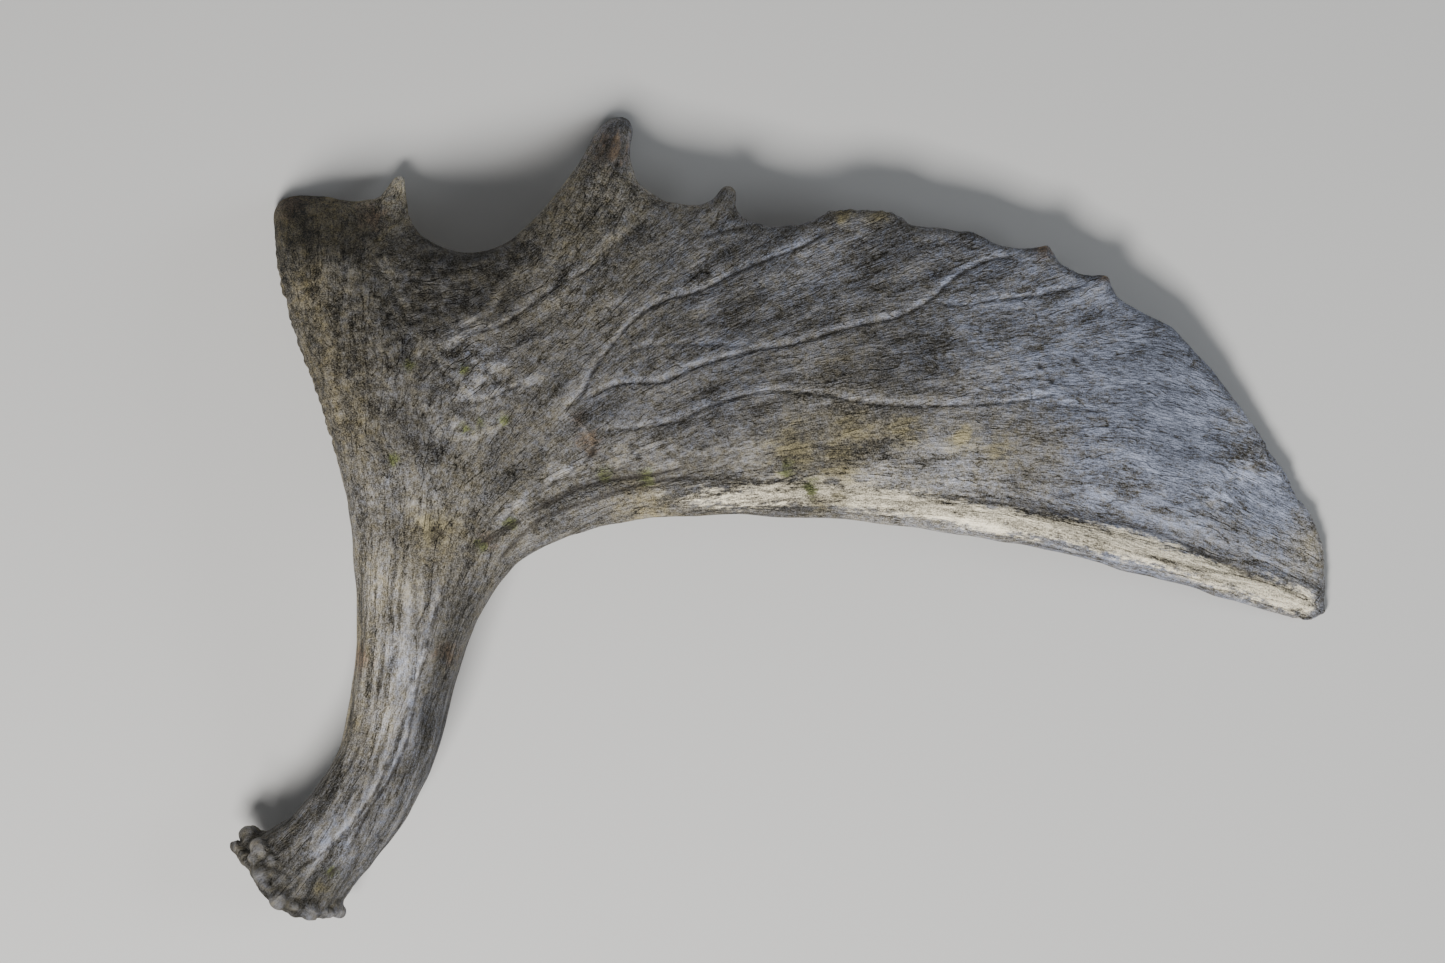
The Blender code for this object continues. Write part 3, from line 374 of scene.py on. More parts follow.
# The burr's pearls: way round it in degrees from its front end over the top, share, height, spread in
# degrees, and length as a share of the same way.
PEARLS = [
    (-8, 0.90, 7.0, 13, 0.10), (-30, 0.82, 5.0, 18, 0.10), (2, 1.15, 7.0, 10, 0.08),
    (38, 0.80, 3.0, 11, 0.10), (60, 0.92, 2.2, 12, 0.13), (78, 1.08, 2.2, 11, 0.13),
    (100, 1.12, 3.0, 11, 0.13), (128, 1.10, 3.0, 13, 0.13), (152, 1.08, 3.0, 12, 0.13),
    (176, 1.13, 8.0, 11, 0.10), (-62, 1.06, 2.4, 12, 0.13), (-84, 1.00, 2.6, 12, 0.13),
    (-108, 1.08, 2.4, 12, 0.13), (-131, 1.00, 3.0, 12, 0.13), (-154, 1.06, 2.4, 12, 0.13),
]
# The stretch of the rim that small pearls cover, and how far they reach from it.
PEARLED_RIM = [
    (-323.6, -189.7), (-317.6, -205.4), (-309.2, -221.7), (-296.5, -233.8), (-281.4, -239.8),
    (-261.5, -236.8),
]
PEARLED_REACH = 15.0
# The larger of the pearls on its upper side: x, y, reach, height.
RIM_PEARLS = [
    (-318.7, -189.8, 4.6, 3.4), (-325.3, -198.6, 3.0, 3.0), (-311.4, -198.6, 4.4, 3.8),
    (-315.1, -204.3, 2.8, 2.4), (-309.3, -214.5, 4.8, 3.4), (-304.0, -205.0, 3.0, 1.6),
    (-306.3, -221.0, 2.8, 2.4), (-299.1, -229.1, 5.2, 3.2), (-289.0, -233.0, 2.6, 2.0),
    (-280.2, -236.4, 4.6, 3.0), (-262.8, -237.2, 4.4, 2.6), (-270.0, -238.0, 2.6, 2.0),
    (-296.5, -216.5, 3.0, 1.2), (-303.0, -212.5, 2.4, 1.4),
]
# Where the burr's rim lies back towards the beam or further from it: degrees, distance, spread.
RIM_SLIDES = [(45, -5.0, 22), (115, 2.5, 24)]
FLUTES = 7  # soft ridges round the beam
FLUTE_HEIGHT = 0.5
FLUTE_TWIST = 2.5  # radians from one end of the beam to the other


def smooth_path(points, step):
    """The curve through the points, with one more point about every step.

    Between two points it is a cubic, whose slope at a point is that of the parabola through the point
    and its two neighbours.
    """
    knots = np.array(points, float)
    chord = np.linalg.norm(np.diff(knots, axis=0), axis=1)
    slope = np.diff(knots, axis=0) / chord[:, None]
    share = (chord[1:] / (chord[:-1] + chord[1:]))[:, None]
    tangent = np.vstack([slope[:1], share * slope[:-1] + (1 - share) * slope[1:], slope[-1:]])
    pieces = []
    for start, end, leave, reach, length in zip(knots, knots[1:], tangent, tangent[1:], chord):
        count = max(1, math.ceil(length / step))
        t = np.arange(count)[:, None] / count
        pieces.append(
            start * (1 - t) ** 2 * (1 + 2 * t) + end * t ** 2 * (3 - 2 * t)
            + length * (leave * t * (1 - t) ** 2 - reach * t ** 2 * (1 - t))
        )
    return np.vstack(pieces + [knots[-1:]])


def nearest_on(path, plan):
    """Each plan point's gap to a chain of points, the nearest place on it, and 1 on its left or -1.

    The nearest of the chain's points is found first, then the nearer of the stretches that meet there.
    """
    start, span = path[:-1], np.diff(path, axis=0)
    reach, size = (span ** 2).sum(1), (path ** 2).sum(1)
    batches = np.array_split(plan, len(plan) // BATCH_SIZE + 1)
    nearest = np.concatenate([(size - 2 * batch @ path.T).argmin(1) for batch in batches])
    gap, place, side = np.full(len(plan), np.inf), np.zeros_like(plan), np.zeros(len(plan))
    for shift in (-1, 0):
        stretch = np.clip(nearest + shift, 0, len(span) - 1)
        offset, way = plan - start[stretch], span[stretch]
        share = np.clip((offset * way).sum(1) / reach[stretch], 0, 1)[:, None]
        apart = np.hypot(*(offset - share * way).T)
        closer = apart < gap
        gap = np.where(closer, apart, gap)
        place = np.where(closer[:, None], start[stretch] + share * way, place)
        side = np.where(closer, np.sign(way[:, 0] * offset[:, 1] - way[:, 1] * offset[:, 0]), side)
    return gap, place, side


def ramp(value, low, high):
    """0 at low, 1 at high, with a smooth S between them."""
    t = np.clip((value - low) / (high - low), 0, 1)
    return t * t * (3 - 2 * t)


def hump(away, width):
    """A bell curve: 1 where nothing is between, and about a third at the width."""
    return np.exp(-((away / width) ** 2))


def ridge(line, width, plan, step=LINE_STEP):
    """A bell curve at plan points, of their gap to a line."""
    return hump(nearest_on(smooth_path(line, step), plan)[0], width)


def round_places(plan, table):
    """Bell curves at plan points round a table's places, a column for each: x, y and reach."""
    table = np.array(table, float)
    return np.exp(-squared_gaps(plan, table) / table[:, 2] ** 2)


def squared_gaps(plan, table):
    """The squared gap of each plan point, one a row, to each of the table's places."""
    return ((plan[:, None] - table[:, :2]) ** 2).sum(2)


OUTLINE = smooth_path(
    BEAM_FRONT + BROW_FRONT + BROW_TIP + BROW_SPUR + BAY + GREAT_TINE + SMALL_TINE + PALM_TOP
    + PALM_POINTS + PALM_END + PALM_RIM + BEAM_REAR, CHAIN_STEP)
OUTLINE_RUN = np.append(0, np.cumsum(np.hypot(*np.diff(OUTLINE, axis=0).T)))


def run_of(place):
    """How far along the outline its point nearest to a place is."""
    return OUTLINE_RUN[np.hypot(*(OUTLINE - place).T).argmin()]


def outline_at(run):
    """Outline points at given ways along it."""
    return np.column_stack([np.interp(run, OUTLINE_RUN, axis) for axis in OUTLINE.T])


def outline_between(run0, run1, step):
    """Outline points from one run to another, closer together where the outline bends."""
    points = outline_at(np.linspace(run0, run1, max(2, math.ceil(abs(run1 - run0) / TRACE_STEP))))
    heading = np.unwrap(np.arctan2(*np.diff(points, axis=0).T[::-1]))
    bend = np.append(0, np.abs(np.diff(heading)))
    effort = np.append(0, np.cumsum(np.hypot(*np.diff(points, axis=0).T) / step + bend / BEND_STEP))
    even = np.linspace(0, effort[-1], round(effort[-1]) + 1)
    return np.column_stack([np.interp(even, effort, axis) for axis in points.T])


def plate_bending(plan, places):
    """How a thin plate bends at plan points when pushed at each place: r squared times log r."""
    spread = np.sqrt(squared_gaps(plan, places))
    return spread ** 2 * np.log(spread + 1e-9)


def thin_plate(places, heights):
    """Weights of the smoothest surface through the heights, as a bent thin plate takes its shape."""
    flat = np.column_stack([np.ones(len(places)), places])
    system = np.block([[plate_bending(places, places), flat], [flat.T, np.zeros((3, 3))]])
    return np.linalg.solve(system, np.append(heights, np.zeros(3)))


PLATE = thin_plate(PLACES[:, :2], PLACES[:, 2])


def middle_height(plan):
    """Height of the middle surface: the thin plate through the chosen places."""
    return plate_bending(plan, PLACES[:, :2]) @ PLATE[:-3] + PLATE[-3] + plan @ PLATE[-2:]


def thickness(plan):
    """Half the thickness and the edge radius: the places' own, weighed by bell curves round them.

    Far from every place the nearer ones still count more. The ribs then make the bone thicker.
    """
    spread = squared_gaps(plan, PLACES)
    weight = np.exp(-spread / BLEND_REACH ** 2) + 1e-9 / (1 + spread)
    half, radius = (weight @ PLACES[:, 3:] / weight.sum(1, keepdims=True)).T
    for width, height, line in RIBS:
        half = half + height * ridge(line, width, plan, RIB_STEP)
    return half, radius


def sheets(plan):
    """Plan points moved towards the outline, with the heights of the two sheets there.

    A point's distance to the outline is read as a way round the edge: over a quarter circle of the
    edge radius it goes from the outline, where the sheets meet, to the full thickness.
    """
    depth, edge, _ = nearest_on(OUTLINE, plan)
    radius = thickness(plan)[1]
    turn = np.minimum(depth / radius, 1) * math.pi / 2
    pull = np.where(depth < radius, radius * (1 - np.cos(turn)), depth) / np.maximum(depth, 1e-9)
    moved = edge + (plan - edge) * pull[:, None]
    rise = np.sin(turn) * thickness(moved)[0]
    middle = middle_height(moved)
    hollow = round_places(moved, HOLLOWS) @ [deep for *_, deep in HOLLOWS]
    return moved, np.maximum(middle + rise - hollow * np.sin(turn), 0), np.maximum(middle - rise, 0)


def web_grid(loop, step):
    """Plan points inside a loop on staggered rows, a little clear of it.

    Each row keeps what lies between pairs of its crossings with the loop.
    """
    x0, y0 = loop.T
    x1, y1 = np.roll(loop, -1, axis=0).T
    rows = []
    for number, y in enumerate(np.arange(y0.min(), y0.max(), step * math.sqrt(3) / 2)):
        crossed = (y0 > y) != (y1 > y)
        crossings = np.sort(x0[crossed] + ((y - y0) * (x1 - x0))[crossed] / (y1 - y0)[crossed])
        x = np.arange(x0.min() + step / 2 * (number % 2), x0.max(), step)
        x = x[np.searchsorted(crossings, x) % 2 == 1]
        rows.append(np.column_stack([x, np.full(len(x), y)]))
    grid = np.vstack(rows)
    return grid[nearest_on(np.vstack([loop, loop[:1]]), grid)[0] > WEB_CLEARANCE * step]


def cut_line(start, end, columns):
    """Plan points along two straight cuts that meet at the fork, without the first and the last."""
    to_fork, from_fork = (np.linspace(0, 1, count + 1)[:, None] ** CUT_CROWDING for count in columns)
    going = start + (np.array(FORK) - start) * to_fork[1:]
    return np.vstack([going, end + (np.array(FORK) - end) * from_fork[-2:0:-1]])


def cut_walls(here, below):
    """Two triangles for each stretch between a line of points and the line below, without flat ones."""
    walls = np.vstack([np.column_stack([here[:-1], here[1:], below[1:]]),
                       np.column_stack([here[:-1], below[1:], below[:-1]])])
    return walls[(walls != np.roll(walls, 1, axis=1)).all(1)]


def palm_skin(run0, run1, columns):
    """Points, faces and cut walls of a piece of palm: two sheets that share the outline between runs.

    Each sheet is a web of triangles over a grid of staggered rows, the outline and the cuts. The web
    keeps only the triangles inside its border, which is what the 1 asks for.
    """
    arc = outline_between(run0, run1, OUTLINE_STEP)
    loop = np.vstack([arc, cut_line(arc[-1], arc[0], columns)])
    border = [list(range(len(loop)))]
    points, faces = [], []
    for step, is_top in ((UPPER_STEP, True), (LOWER_STEP, False)):
        plan = np.vstack([loop, web_grid(loop, step)])
        web = np.array(geometry.delaunay_2d_cdt(plan.tolist(), [], border, 1, WEB_TOLERANCE)[2])
        moved, top, bottom = sheets(plan)
        height = top if is_top else bottom
        height[:len(arc)] = (top + bottom)[:len(arc)] / 2
        base = sum(map(len, points))
        points.append(np.column_stack([moved, height]))
        faces.append(web if is_top else np.where(web < len(arc), web, web + base)[:, ::-1])
    here = np.append(np.arange(len(arc) - 1, len(loop)), 0)
    below = np.where(here < len(arc), here, here + len(points[0]))
    return without_spares(np.vstack(points), np.vstack(faces), cut_walls(here, below))


def without_spares(points, faces, walls):
    """The same skin without the points that no face uses."""
    used, order = np.unique(np.vstack([faces, walls]), return_inverse=True)
    order = order.reshape(-1, 3)
    return points[used], order[:len(faces)], order[len(faces):]


def beam_rows(run_front, run_rear, columns):
    """Plan points across the beam, row after row from its foot to the fork.

    The rows bend more and more, by the square of the way, until the last one follows the cuts.
    """
    total = OUTLINE_RUN[-1]
    share = np.linspace(0, 1, math.ceil(max(run_front, total - run_rear) / BEAM_ROW_STEP) + 1)
    front, rear = outline_at(share * run_front), outline_at(total - share * (total - run_rear))
    across = np.linspace(0, 1, sum(columns) + 1)[:, None]
    ends = np.vstack([front[-1:], cut_line(front[-1], rear[-1], columns), rear[-1:]])
    bent = ends - (ends[0] * (1 - across) + ends[-1] * across)
    straight = front[:, None] * (1 - across) + rear[:, None] * across
    return straight + bent * (share ** 2)[:, None, None]


def bell(turn, degrees, spread):
    """A bell curve round the burr, one at its own angle and about a third at the spread."""
    return hump(np.degrees(np.angle(np.exp(1j * (turn - math.radians(degrees))))), spread)


def burr_rings(neck, foot):
    """Rings from the beam's foot over the burr's rim to the middle of the scar.

    Leaning ellipses stand at the chosen shares of the way. Each column of points runs through them on
    one smooth curve, and the pearls are raised on it as bell curves, round the burr and along it. All
    columns are one curve in many dimensions, so its step is as many times longer as the root of their
    count. The rows up to the foot, and the last, where all columns meet, are left out.
    """
    count = len(foot)
    forward = foot[0] - foot[count // 2]
    forward /= np.linalg.norm(forward)
    outward = np.array([forward[1], -forward[0], 0])
    outward *= -np.sign(outward[1])
    turn = 2 * math.pi * np.arange(count) / count

    def at(share):
        """The middle of the ring at a share of the way."""
        return foot.mean(0) * (1 - share) + np.array(BURR_CENTRE) * share

    def upright(lean):
        """The way up in a ring that leans."""
        return outward * math.sin(math.radians(lean)) + (0, 0, math.cos(math.radians(lean)))

    knots = [np.append(neck, NECK), np.append(foot, FOOT)]
    for share, half_width, half_depth, lean in BURR_RINGS:
        slid = sum(distance * bell(turn, degrees, spread) for degrees, distance, spread in RIM_SLIDES)
        slid = slid * (min(share, 1) * half_width / RIM_HALF_WIDTH) ** 2
        ring = (at(share) + forward * half_width * np.cos(turn)[:, None]
                + upright(lean) * half_depth * np.sin(turn)[:, None] + outward * slid[:, None])
        knots.append(np.append(ring, (share, lean)))
    middle = np.tile(at(SCAR_CENTRE_SHARE), count)
    knots.append(np.append(middle, (SCAR_CENTRE_SHARE, BURR_RINGS[-1][3])))
    rows = smooth_path(knots, BURR_ROW_STEP * math.sqrt(count))
    rows = rows[rows[:, -2] > 1e-6][:-1]
    rings = []
    for row in rows:
        share, lean = row[-2:]
        raised = sum(height * bell(turn, degrees, spread) * hump(share - place, length)
                     for degrees, place, height, spread, length in PEARLS)
        rings.append(row[:-2].reshape(-1, 3) + forward * (raised * np.cos(turn))[:, None]
                     + upright(lean) * (raised * np.sin(turn))[:, None])
    return rings, at(SCAR_CENTRE_SHARE)


def beam_skin(run_front, run_rear, columns):
    """Points, faces and cut wall of the beam: rings from the fork to its foot, then the burr's rings.

    Soft ridges twist round it: a cosine of the way round, as high as the sine of the way along.
    """
    rows = beam_rows(run_front, run_rear, columns)
    width = rows.shape[1]
    moved, top, bottom = (part.reshape(len(rows), width, -1) for part in sheets(rows.reshape(-1, 2)))
    top[:, [0, -1]] = (top + bottom)[:, [0, -1]] / 2
    upper = np.concatenate([moved, top], axis=2)
    lower = np.concatenate([moved, bottom], axis=2)
    rings = np.concatenate([upper, lower[:, -2:0:-1]], axis=1)[::-1]
    count = rings.shape[1]
    turn = 2 * math.pi * np.arange(count) / count
    along = np.linspace(0, 1, len(rings))[:, None]
    out = rings - rings.mean(1, keepdims=True)
    out /= np.linalg.norm(out, axis=2, keepdims=True)
    flutes = FLUTE_HEIGHT * np.sin(math.pi * along) * np.cos(FLUTES * turn + FLUTE_TWIST * along)
    rings = rings + out * flutes[..., None]
    burr, scar = burr_rings(rings[NECK_ROW], rings[-1])
    rings = np.concatenate([rings, burr])
    points = np.vstack([rings.reshape(-1, 3), scar])
    points[:, 2] = np.maximum(points[:, 2], 0)
    here = np.arange(count) + count * np.arange(len(rings) - 1)[:, None]
    there = np.roll(here, -1, axis=1)
    here, there = here.ravel(), there.ravel()
    last = np.arange(count) + count * (len(rings) - 1)
    faces = np.vstack([
        np.column_stack([here, here + count, there + count]),
        np.column_stack([here, there + count, there]),
        np.column_stack([last, np.full(count, len(points) - 1), np.roll(last, -1)]),
    ])
    here = np.arange(width)
    return without_spares(points, faces, cut_walls(here, (count - here) % count))


def facing(points, faces):
    """Unit normals: the sum of the normals of the faces round a point, a larger face counting more."""
    a, b, c = points[faces].transpose(1, 0, 2)
    across = np.cross(b - a, c - a)
    corners = faces.ravel()
    total = np.array([np.bincount(corners, np.repeat(axis, 3), len(points)) for axis in across.T]).T
    return total / np.maximum(np.linalg.norm(total, axis=1), 1e-12)[:, None]


LATTICE_SIZE = 64
LATTICE = np.random.default_rng(11).uniform(-1, 1, (LATTICE_SIZE,) * 3)
KNOB_DRIFT = 0.35  # how far a knob stands from the middle of its cell
KNOB_RADIUS = 0.75
TURN_STEP = 12.0  # degrees between the ways that fibres are drawn out
TURN_SHIFT = 5.7  # how far apart the random heights of two such ways are


def bumps(place):
    """Smooth random heights from -1 to 1: drawn at whole numbers, with an S curve between them."""
    low = np.floor(place).astype(int)
    t = place - low
    t = t * t * (3 - 2 * t)
    total = np.zeros(len(place))
    for corner in np.ndindex(2, 2, 2):
        x, y, z = ((low + corner) % LATTICE_SIZE).T
        total += LATTICE[x, y, z] * np.prod(np.where(corner, t, 1 - t), axis=1)
    return total


def knobs(place):
    """Round knobs from 0 to 1: one at a random spot of each unit cell, as high as it is near."""
    low = np.floor(place).astype(int)
    nearest = np.full(len(place), 9.0)
    for corner in np.ndindex(3, 3, 3):
        cell = low + corner - 1
        x, y, z = (cell % LATTICE_SIZE).T
        drift = np.column_stack([LATTICE[x, y, z], LATTICE[y, z, x], LATTICE[z, x, y]])
        gap = np.linalg.norm(place - (cell + 0.5 + KNOB_DRIFT * drift), axis=1)
        nearest = np.minimum(nearest, gap)
    return np.clip(1 - (nearest / KNOB_RADIUS) ** 2, 0, 1)


def fibres(place, growth, length, width, shift):
    """Random heights drawn out along the growth.

    Two copies of the bumps are turned to the steps of the growth's angle just below and above it, and
    mixed by how far it is between them.
    """
    steps = growth / TURN_STEP
    part = steps - np.floor(steps)
    mixed = 0
    for number, share in ((np.floor(steps), 1 - part), (np.floor(steps) + 1, part)):
        turn = np.radians(number * TURN_STEP)
        along = place[:, 0] * np.cos(turn) + place[:, 1] * np.sin(turn)
        aside = place[:, 1] * np.cos(turn) - place[:, 0] * np.sin(turn)
        stretched = np.column_stack([along / length, aside / width, place[:, 2] / width])
        mixed = mixed + share * bumps(stretched + number[:, None] * TURN_SHIFT + shift)
    return mixed / np.hypot(part, 1 - part)


SOFTENING = 60.0  # added to a squared distance


def at_places(plan, table):
    """The table's values at plan points: the mean of its rows, nearer ones counting more.

    A row counts by one over the third power of its distance, softened close to it.
    """
    table = np.array(table, float)
    weight = (squared_gaps(plan, table) + SOFTENING) ** -1.5
    return weight @ table[:, 2:] / weight.sum(1, keepdims=True)


def lines_near(plan, table, step):
    """The gap to the nearest of several lines, on which side of it a point is, and its strength."""
    gap, side, strength = np.full(len(plan), np.inf), np.zeros(len(plan)), np.zeros(len(plan))
    for force, line in table:
        path = smooth_path(line, step)
        away, _, left = nearest_on(path, plan)
        run = np.hypot(*(plan - path[0]).T), np.hypot(*(plan - path[-1]).T)
        fade = force * ramp(np.minimum(*run), *LINE_FADE)
        closer = away < gap
        gap = np.where(closer, away, gap)
        side = np.where(closer, left, side)
        strength = np.where(closer, fade, strength)
    return gap, side, strength


# Between which values each mask grows from nothing to all: the upward part of the normal for the outer
# face; y and x for the beam; the gap to the crest and x for the rim; the distance and y for the burr.
OUTER_RISE = (-0.25, 0.35)
BEAM_START = ((30, -45), (-110, -175))
RIM_START = ((21, 8), (-150, -70))
BURR_START = ((62, 44), (-165, -185))


def bone_marks(points, normals):
    """What the relief and the colours need to know of each point of the skin.

    Tables give the growth and the tone, whose lightness is partly painted shade and light. Bell curves
    of the gap to a line or a place give the worn edges, cracks, cream, strips and patches. S curves of
    the place give the burr, and the beam with the rim, where the fibres run long.
    """
    plan = points[:, :2]
    x, y = plan.T
    outer = ramp(normals[:, 2], *OUTER_RISE)
    marks = {"place": np.column_stack([plan, points[:, 2] - middle_height(plan)]), "outer": outer}
    marks["growth"] = at_places(plan, GROWTH)
    # Its lightness is partly the bone's own tone and partly painted shade and light.
    marks["tone"] = at_places(plan, TONES_AND_SHADE)
    edges = [ridge(line, WORN_EDGE_REACH, plan, EDGE_STEP) for line in WORN_EDGES]
    marks["worn edge"] = np.max(edges, axis=0)
    few = VESSELS[:INNER_COUNT]
    inner = [(force * INNER_DEPTH, np.array(line) + INNER_SHIFT) for force, line in few]
    above, below = lines_near(plan, VESSELS, VESSEL_STEP), lines_near(plan, inner, VESSEL_STEP)
    is_outer = normals[:, 2] > 0
    gap, side, strength = (np.where(is_outer, up, down) for up, down in zip(above, below))
    marks["vessel"] = np.column_stack([np.minimum(gap, VESSEL_REACH), side * 0.5 + 0.5, strength])
    gap, _, strength = lines_near(plan, CRACKS, CRACK_STEP)
    holes = round_places(plan, PITS).max(1)
    marks["crack"] = outer * np.maximum(strength * hump(gap, CRACK_WIDTH), PIT_DIRT * holes)
    rim = nearest_on(smooth_path(CREAM_RIM, LINE_STEP), plan)[0]
    beam = ramp(y, *BEAM_START[0]) * ramp(x, *BEAM_START[1])
    marks["beam"] = np.maximum(beam, ramp(rim, *RIM_START[0]) * ramp(x, *RIM_START[1]))
    away = np.linalg.norm(points - BURR_CENTRE, axis=1)
    pearled = ridge(PEARLED_RIM, PEARLED_REACH, plan, EDGE_STEP)
    marks["burr"] = ramp(away, *BURR_START[0]) * ramp(y, *BURR_START[1]) * pearled
    marks["cream"] = outer * ramp(x, *CREAM_START) * hump(rim, CREAM_WIDTH)
    for name, table in PATCHES.items():
        marks[name] = outer * round_places(plan, table).max(1)
    strips = [outer * ridge(line, width, plan) for width, line in PALE_STRIPS]
    marks["pale"] = np.max([marks["pale"], *strips], axis=0)
    return marks


# Slow swellings: height, size, and a shift that keeps them apart from the other random heights.
SWELLS = [(0.7, 34, 3.3), (0.4, 15, 9.1)]
# Random heights drawn out along the growth: length, width and shift over the palms, then the same
# along the beam. First the relief's coarse, middle and fine fibres, then streaks for the colours.
FIBRES = [
    ((26, 8, 1.7), (120, 9, 31.1)), ((11, 4.2, 20.3), (45, 4.5, 20.3)),
    ((5, 2.2, 41.9), (12, 2.2, 41.9)),
]
STREAKS = {
    "long": ((48, 7, 63.0), (60, 3, 63.0)), "wrinkle": ((16, 2.6, 77.0), (60, 4, 77.0)),
    "thread": ((11, 2.6, 91.0), (26, 2, 91.0)),
}


def relief(marks):
    """How far the skin stands out along its normals: the fine form of the bone, in millimetres.

    It is the sum of slow swellings, fibres along the growth in three sizes, the vessel grooves with a
    bank on their left and a lip on their right, the crease by the rim, the burr's pearls with a furrow
    round the larger ones, a rough worn edge, pits and cracks. It also adds what only the colours use to
    the marks: the hollows, painted as shade between fibres, between pearls and in the furrow round the
    larger pearls, and as highlight on the crests and on those pearls' heads; and the streaks. Random
    heights are taken at the place divided by their size.
    """
    place, growth, beam = marks["place"], marks["growth"][:, 0], marks["beam"]
    outer, burr = marks["outer"], marks["burr"]
    plan = place[:, :2]
    palm, plain = 1 - beam, 1 - burr

    def grown(over_palm, along_beam):
        """Fibres of one length, width and shift over the palms, and of others along the beam."""
        return palm * fibres(place, growth, *over_palm) + beam * fibres(place, growth, *along_beam)

    swell = sum(height * bumps(place / size + shift) for height, size, shift in SWELLS)
    coarse, middle, fine = (grown(*ways) for ways in FIBRES)
    fibre = plain * ((0.5 + 0.7 * beam) * coarse + (0.32 + 0.2 * beam) * middle + 0.22 * fine)
    for name, ways in STREAKS.items():
        marks[name] = grown(*ways)
    marks["long"] += 0.5 * palm * bumps(place / 12 + 3.7)
    gap, side, strength = marks["vessel"].T
    gap = gap + 0.5 * bumps(place / 5 + 4.4)
    floor = hump(gap, VESSEL_FLOOR)
    bank = hump(gap - VESSEL_BANK[0], VESSEL_BANK[1]) * side
    lip = hump(gap - VESSEL_LIP[0], VESSEL_LIP[1]) * (1 - side)
    vessel = strength * VESSEL_DEPTH * (0.4 * lip - 0.3 * floor - 0.55 * bank)
    crease = CREASE_DEPTH * outer * ridge(RIM_CREASE, CREASE_WIDTH, plan)
    pits = round_places(plan, PITS) @ [deep for *_, deep in PITS]
    pearl = knobs(place / 6 + 2.2)
    large = np.array(RIM_PEARLS)
    away = np.sqrt(squared_gaps(plan, large)) / large[:, 2]
    heads = outer * (np.exp(-away ** 3) @ large[:, 3])
    foot = outer * hump(away.min(1) - 1.5, 0.45)
    pearly = burr * (1.2 * pearl + 0.35 * bumps(place / 2.6) - 0.5) + heads - 0.8 * foot
    rough = marks["worn edge"] * (1.2 * knobs(place / 6 + 3.1) + 0.6 * bumps(place / 3.1 + 7.7) - 0.4)
    # The hollow mark is painted shade and highlight: higher between fibres, between the burr's pearls
    # and in the furrow round the large pearls, lower on the crests and on the large pearls' heads.
    marks["hollow"] = burr * (0.8 - 2.0 * pearl) - plain * (0.8 * middle + 0.6 * fine + 0.4 * coarse)
    marks["hollow"] += 1.4 * foot - heads
    total = swell + fibre + vessel - crease + pearly + rough
    return total - outer * pits - CRACK_DEPTH * marks["crack"]


# For each node, its piece's name and its slot.
PIECES = {
    "beam": ("beam_bone", "beam_bone"), "brow_palm": ("brow_palm_bone", "brow_bone"),
    "main_palm": ("main_palm_bone", "palm_bone"),
}
# The attributes that the material reads, and the marks that each one holds.
ATTRIBUTES = {
    "bone place": ["place"], "growth": ["growth"], "tone": ["tone"], "vessel": ["vessel"],
    "stain": ["brown", "ochre", "moss"], "worn": ["cream", "pale", "burr"],
    "form": ["hollow", "crack", "beam"], "sweep": ["long", "wrinkle", "thread"],
}
FLAT_HEIGHT = 0.05  # the skin rests on the floor below this, and has no relief there


def antler_skins():
    """The skins of the three pieces, which meet point for point at the cuts."""
    front, bay, rear = run_of(FRONT_CUT), run_of(BAY_CUT), run_of(REAR_CUT)
    return {
        "beam": beam_skin(front, rear, (FRONT_CUT_COLUMNS, REAR_CUT_COLUMNS)),
        "brow_palm": palm_skin(front, bay, (BAY_CUT_COLUMNS, FRONT_CUT_COLUMNS)),
        "main_palm": palm_skin(bay, rear, (REAR_CUT_COLUMNS, BAY_CUT_COLUMNS)),
    }


def finished_bone(skins):
    """The whole antler's points with their relief, its normals and its marks, and each piece's share.

    Points that two pieces have in common, to a thousandth of a millimetre, are one point here, so both
    sides of a cut stay together.
    """
    stacked = np.vstack([points for points, _, _ in skins.values()])
    _, first, share = np.unique(np.round(stacked, 3), axis=0, return_index=True, return_inverse=True)
    points, share = stacked[first], share.ravel()
    shares, faces, base = {}, [], 0
    for name, (own, own_faces, _) in skins.items():
        shares[name] = share[base:base + len(own)]
        faces.append(shares[name][own_faces])
        base += len(own)
    faces = np.vstack(faces)
    normals = facing(points, faces)
    marks = bone_marks(points, normals)
    low, high = np.array(CAD_BOX) / MM + (*PLAN_CENTRE, 0)
    raised = np.clip(points + normals * relief(marks)[:, None], low, high)
    flat = points[:, 2] < FLAT_HEIGHT
    raised[flat, 2] = points[flat, 2]
    return raised, facing(raised, faces), marks, shares


def bone_piece(node, skin, points, normals, marks, share, finish):
    """One piece of the antler as a smooth object that stands for its node."""
    name, slot = PIECES[node]
    mesh = bpy.data.meshes.new(name)
    placed = (points[share] - (*PLAN_CENTRE, 0)) * MM
    mesh.from_pydata(placed.tolist(), [], np.vstack(skin[1:]).tolist())
    mesh.shade_smooth()
    mesh.normals_split_custom_set_from_vertices(normals[share].tolist())
    for title, held in ATTRIBUTES.items():
        values = np.column_stack([marks[mark] for mark in held])[share]
        kind, field = ("FLOAT_VECTOR", "vector") if values.shape[1] == 3 else ("FLOAT", "value")
        layer = mesh.attributes.new(title, kind, "POINT")
        layer.data.foreach_set(field, values.astype(np.float32).ravel())
    mesh.materials.append(finish)
    piece = bpy.data.objects.new(name, mesh)
    bpy.context.collection.objects.link(piece)
    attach(piece, "root")
    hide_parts(node)


